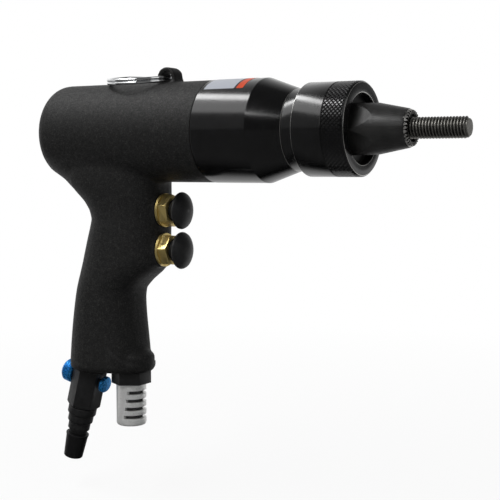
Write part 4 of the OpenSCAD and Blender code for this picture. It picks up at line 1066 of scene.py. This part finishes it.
class RNT_OT_stage(Operator):
    """Pale floor, soft lamps and the camera"""
    bl_idname = "rnt.stage"
    bl_label = "Stage"

    # The camera's place in metres and its own three axes
    EYE = Vector((0.20368, -0.49294, -0.01711))
    RIGHT = Vector((0.86163, 0.50754, 0.0))
    UP = Vector((-0.03717, 0.06311, 0.99731))
    BACK = Vector((0.50617, -0.85931, 0.07324))
    SENSOR_MM, NEAREST = 36.0, 0.01
    # Each lamp's name, power, size in metres, way from the centre, way of its first side, and distance
    LAMPS = (
        ("key_strip", "key", (1.5, 0.115), (-0.31, -0.44, 0.843), (0.596, -0.787, -0.198), 1.0),
        ("key_soft", "soft", (1.5, 0.3), (-0.465, -0.528, 0.71), (0.596, -0.787, -0.198), 1.05),
        ("rear_fill", "fill", (1.1, 0.9), (-0.62, -0.68, 0.42), (0.7, -0.7, 0), 1.3),
        ("front_side", "side", (0.5, 0.9), (0.86, -0.2, 0.5), (0.2, 0.9, 0), 1.1),
    )
    # Half the floor's width in metres, and how white it shows at distances from the centre
    FLOOR_HALF, FLOOR_WHITE = 30.0, ((0.1, 0.7), (0.9, 1.0))
    # How bright the floor is in reflections, by depth from the camera: dim below the tool as a painted shadow
    # of the tool, and bright behind it
    NEAR_GLOW, FAR_GLOW = ((0.02, 0.11), (0.16, 0.0)), ((0.14, 0.21), (0.0, 0.8))
    # How bright the surroundings are in reflections, the more so the nearer to this way
    AWAY, ROOM_GLOW = Vector((-0.75, 0.65, -0.1)).normalized(), ((0.2, 0.8), (0.1, 1.0))
    ROOM_TINT, ROOM_LIGHT = (0.9, 0.95, 1.0), 0.1

    def execute(self, context):
        look = context.scene.rnt_stage
        context.scene.view_settings.view_transform = "Standard"
        self.floor(look)
        self.world(context.scene)
        for name, watts, *setting in self.LAMPS:
            self.lamp(name, Vector(look.centre), getattr(look, watts), *setting)
        self.camera(context.scene, look.lens)
        return {"FINISHED"}

    def camera(self, scene, lens):
        data = bpy.data.cameras.new("photo_camera")
        data.sensor_width = self.SENSOR_MM
        data.lens = lens / MM
        data.clip_start = self.NEAREST
        eye = bpy.data.objects.new("photo_camera", data)
        turn = Matrix((self.RIGHT, self.UP, self.BACK)).transposed().to_4x4()
        eye.matrix_world = Matrix.Translation(self.EYE) @ turn
        scene.collection.objects.link(eye)
        scene.camera = eye

    @staticmethod
    def lamp(name, centre, watts, size, towards, along, distance):
        data = bpy.data.lights.new(name, "AREA")
        data.shape = "RECTANGLE"
        data.size, data.size_y = size
        data.energy = watts
        lamp = bpy.data.objects.new(name, data)
        out = Vector(towards).normalized()
        side = Vector(along)
        side = (side - out * side.dot(out)).normalized()
        turn = Matrix((side, out.cross(side), out)).transposed().to_4x4()
        lamp.matrix_world = Matrix.Translation(centre + out * distance) @ turn
        bpy.context.scene.collection.objects.link(lamp)

    def floor(self, look):
        bm = bmesh.new()
        bmesh.ops.create_grid(bm, x_segments=1, y_segments=1, size=self.FLOOR_HALF,
                              matrix=Matrix.Translation((0, 0, cad_box[0].z - look.room)))
        mesh = bpy.data.meshes.new("floor")
        bm.to_mesh(mesh)
        bm.free()
        material = bpy.data.materials.new("pale_floor")
        material.use_nodes = True
        tree = material.node_tree
        shader = tree.nodes["Principled BSDF"]
        preset(shader, Base_Color=rgba(look.floor), Roughness=0.9)
        spot = tree.nodes.new("ShaderNodeNewGeometry").outputs["Position"]
        bare = spanned(tree, self.vector(tree, "DISTANCE", spot, look.centre), *self.FLOOR_WHITE)
        # The floor's glow in reflections dips below the tool: a painted shadow of the tool
        depth = self.vector(tree, "DOT_PRODUCT", spot, -self.BACK)
        glow = maths(tree, "ADD", spanned(tree, depth, *self.NEAR_GLOW), spanned(tree, depth, *self.FAR_GLOW))
        white = tree.nodes.new("ShaderNodeEmission")
        self.shown(tree, shader.outputs[0], white, bare, glow, tree.nodes["Material Output"])
        mesh.materials.append(material)
        obj = bpy.data.objects.new("floor", mesh)
        bpy.context.scene.collection.objects.link(obj)

    def world(self, scene):
        world = bpy.data.worlds.new("studio")
        world.use_nodes = True
        scene.world = world
        tree = world.node_tree
        dim = tree.nodes["Background"]
        preset(dim, Color=rgba(self.ROOM_TINT), Strength=self.ROOM_LIGHT)
        white = tree.nodes.new("ShaderNodeBackground")
        preset(white, Color=(1, 1, 1, 1))
        way = tree.nodes.new("ShaderNodeTexCoord").outputs["Generated"]
        glow = spanned(tree, self.vector(tree, "DOT_PRODUCT", way, self.AWAY), *self.ROOM_GLOW)
        self.shown(tree, dim.outputs[0], white, None, glow, tree.nodes["World Output"])

    @staticmethod
    def shown(tree, plain, white, bare, glow, output):
        """White to the camera where it is bare, glowing in reflections, plain to the rest."""
        path = tree.nodes.new("ShaderNodeLightPath").outputs
        direct = maths(tree, "ADD", path["Is Camera Ray"], path["Is Transmission Ray"])
        mirrored = maths(tree, "MULTIPLY", path["Is Glossy Ray"], glow)
        tree.links.new(maths(tree, "ADD", direct, mirrored), white.inputs["Strength"])
        if bare:
            direct = maths(tree, "MULTIPLY", direct, bare)
        mix = tree.nodes.new("ShaderNodeMixShader")
        tree.links.new(maths(tree, "ADD", direct, path["Is Glossy Ray"]), mix.inputs["Fac"])
        tree.links.new(plain, mix.inputs[1])
        tree.links.new(white.outputs[0], mix.inputs[2])
        tree.links.new(mix.outputs["Shader"], output.inputs["Surface"])

    @staticmethod
    def vector(tree, operation, source, fixed):
        """Joins a place or a way with a fixed one by an operation."""
        node = tree.nodes.new("ShaderNodeVectorMath")
        node.operation = operation
        node.inputs[1].default_value = fixed
        tree.links.new(source, node.inputs[0])
        return node.outputs["Value"]


OPERATORS = (
    RNT_OT_housing, RNT_OT_gear_case, RNT_OT_sleeve, RNT_OT_nosepiece, RNT_OT_mandrel, RNT_OT_buttons,
    RNT_OT_springs, RNT_OT_bushes, RNT_OT_hang_ring, RNT_OT_inlet, RNT_OT_silencer, RNT_OT_sticker,
    RNT_OT_inner_works, RNT_OT_stage,
)


class RNT_PT_sidebar(Panel):
    """The pieces of the tool, in the order they are made, and their sizes and colours"""
    bl_idname = "RNT_PT_sidebar"
    bl_label = "Rivet nut tool"
    bl_space_type = "VIEW_3D"
    bl_region_type = "UI"
    bl_category = "Rivet nut tool"

    def draw(self, context):
        for operator in OPERATORS:
            self.layout.operator(operator.bl_idname)
        for name, look in LOOKS.items():
            box = self.layout.box()
            box.label(text=look.__doc__)
            for prop in look.__annotations__:
                box.prop(getattr(context.scene, name), prop)


CLASSES = (*LOOKS.values(), *OPERATORS, RNT_PT_sidebar)


def register():
    for cls in CLASSES:
        bpy.utils.register_class(cls)
    for name, look in LOOKS.items():
        setattr(bpy.types.Scene, name, PointerProperty(type=look))


def unregister():
    for name in LOOKS:
        delattr(bpy.types.Scene, name)
    for cls in reversed(CLASSES):
        bpy.utils.unregister_class(cls)


def main():
    register()
    for operator in OPERATORS:
        group, name = operator.bl_idname.split(".")
        getattr(getattr(bpy.ops, group), name)()


if __name__ == "__main__":
    main()
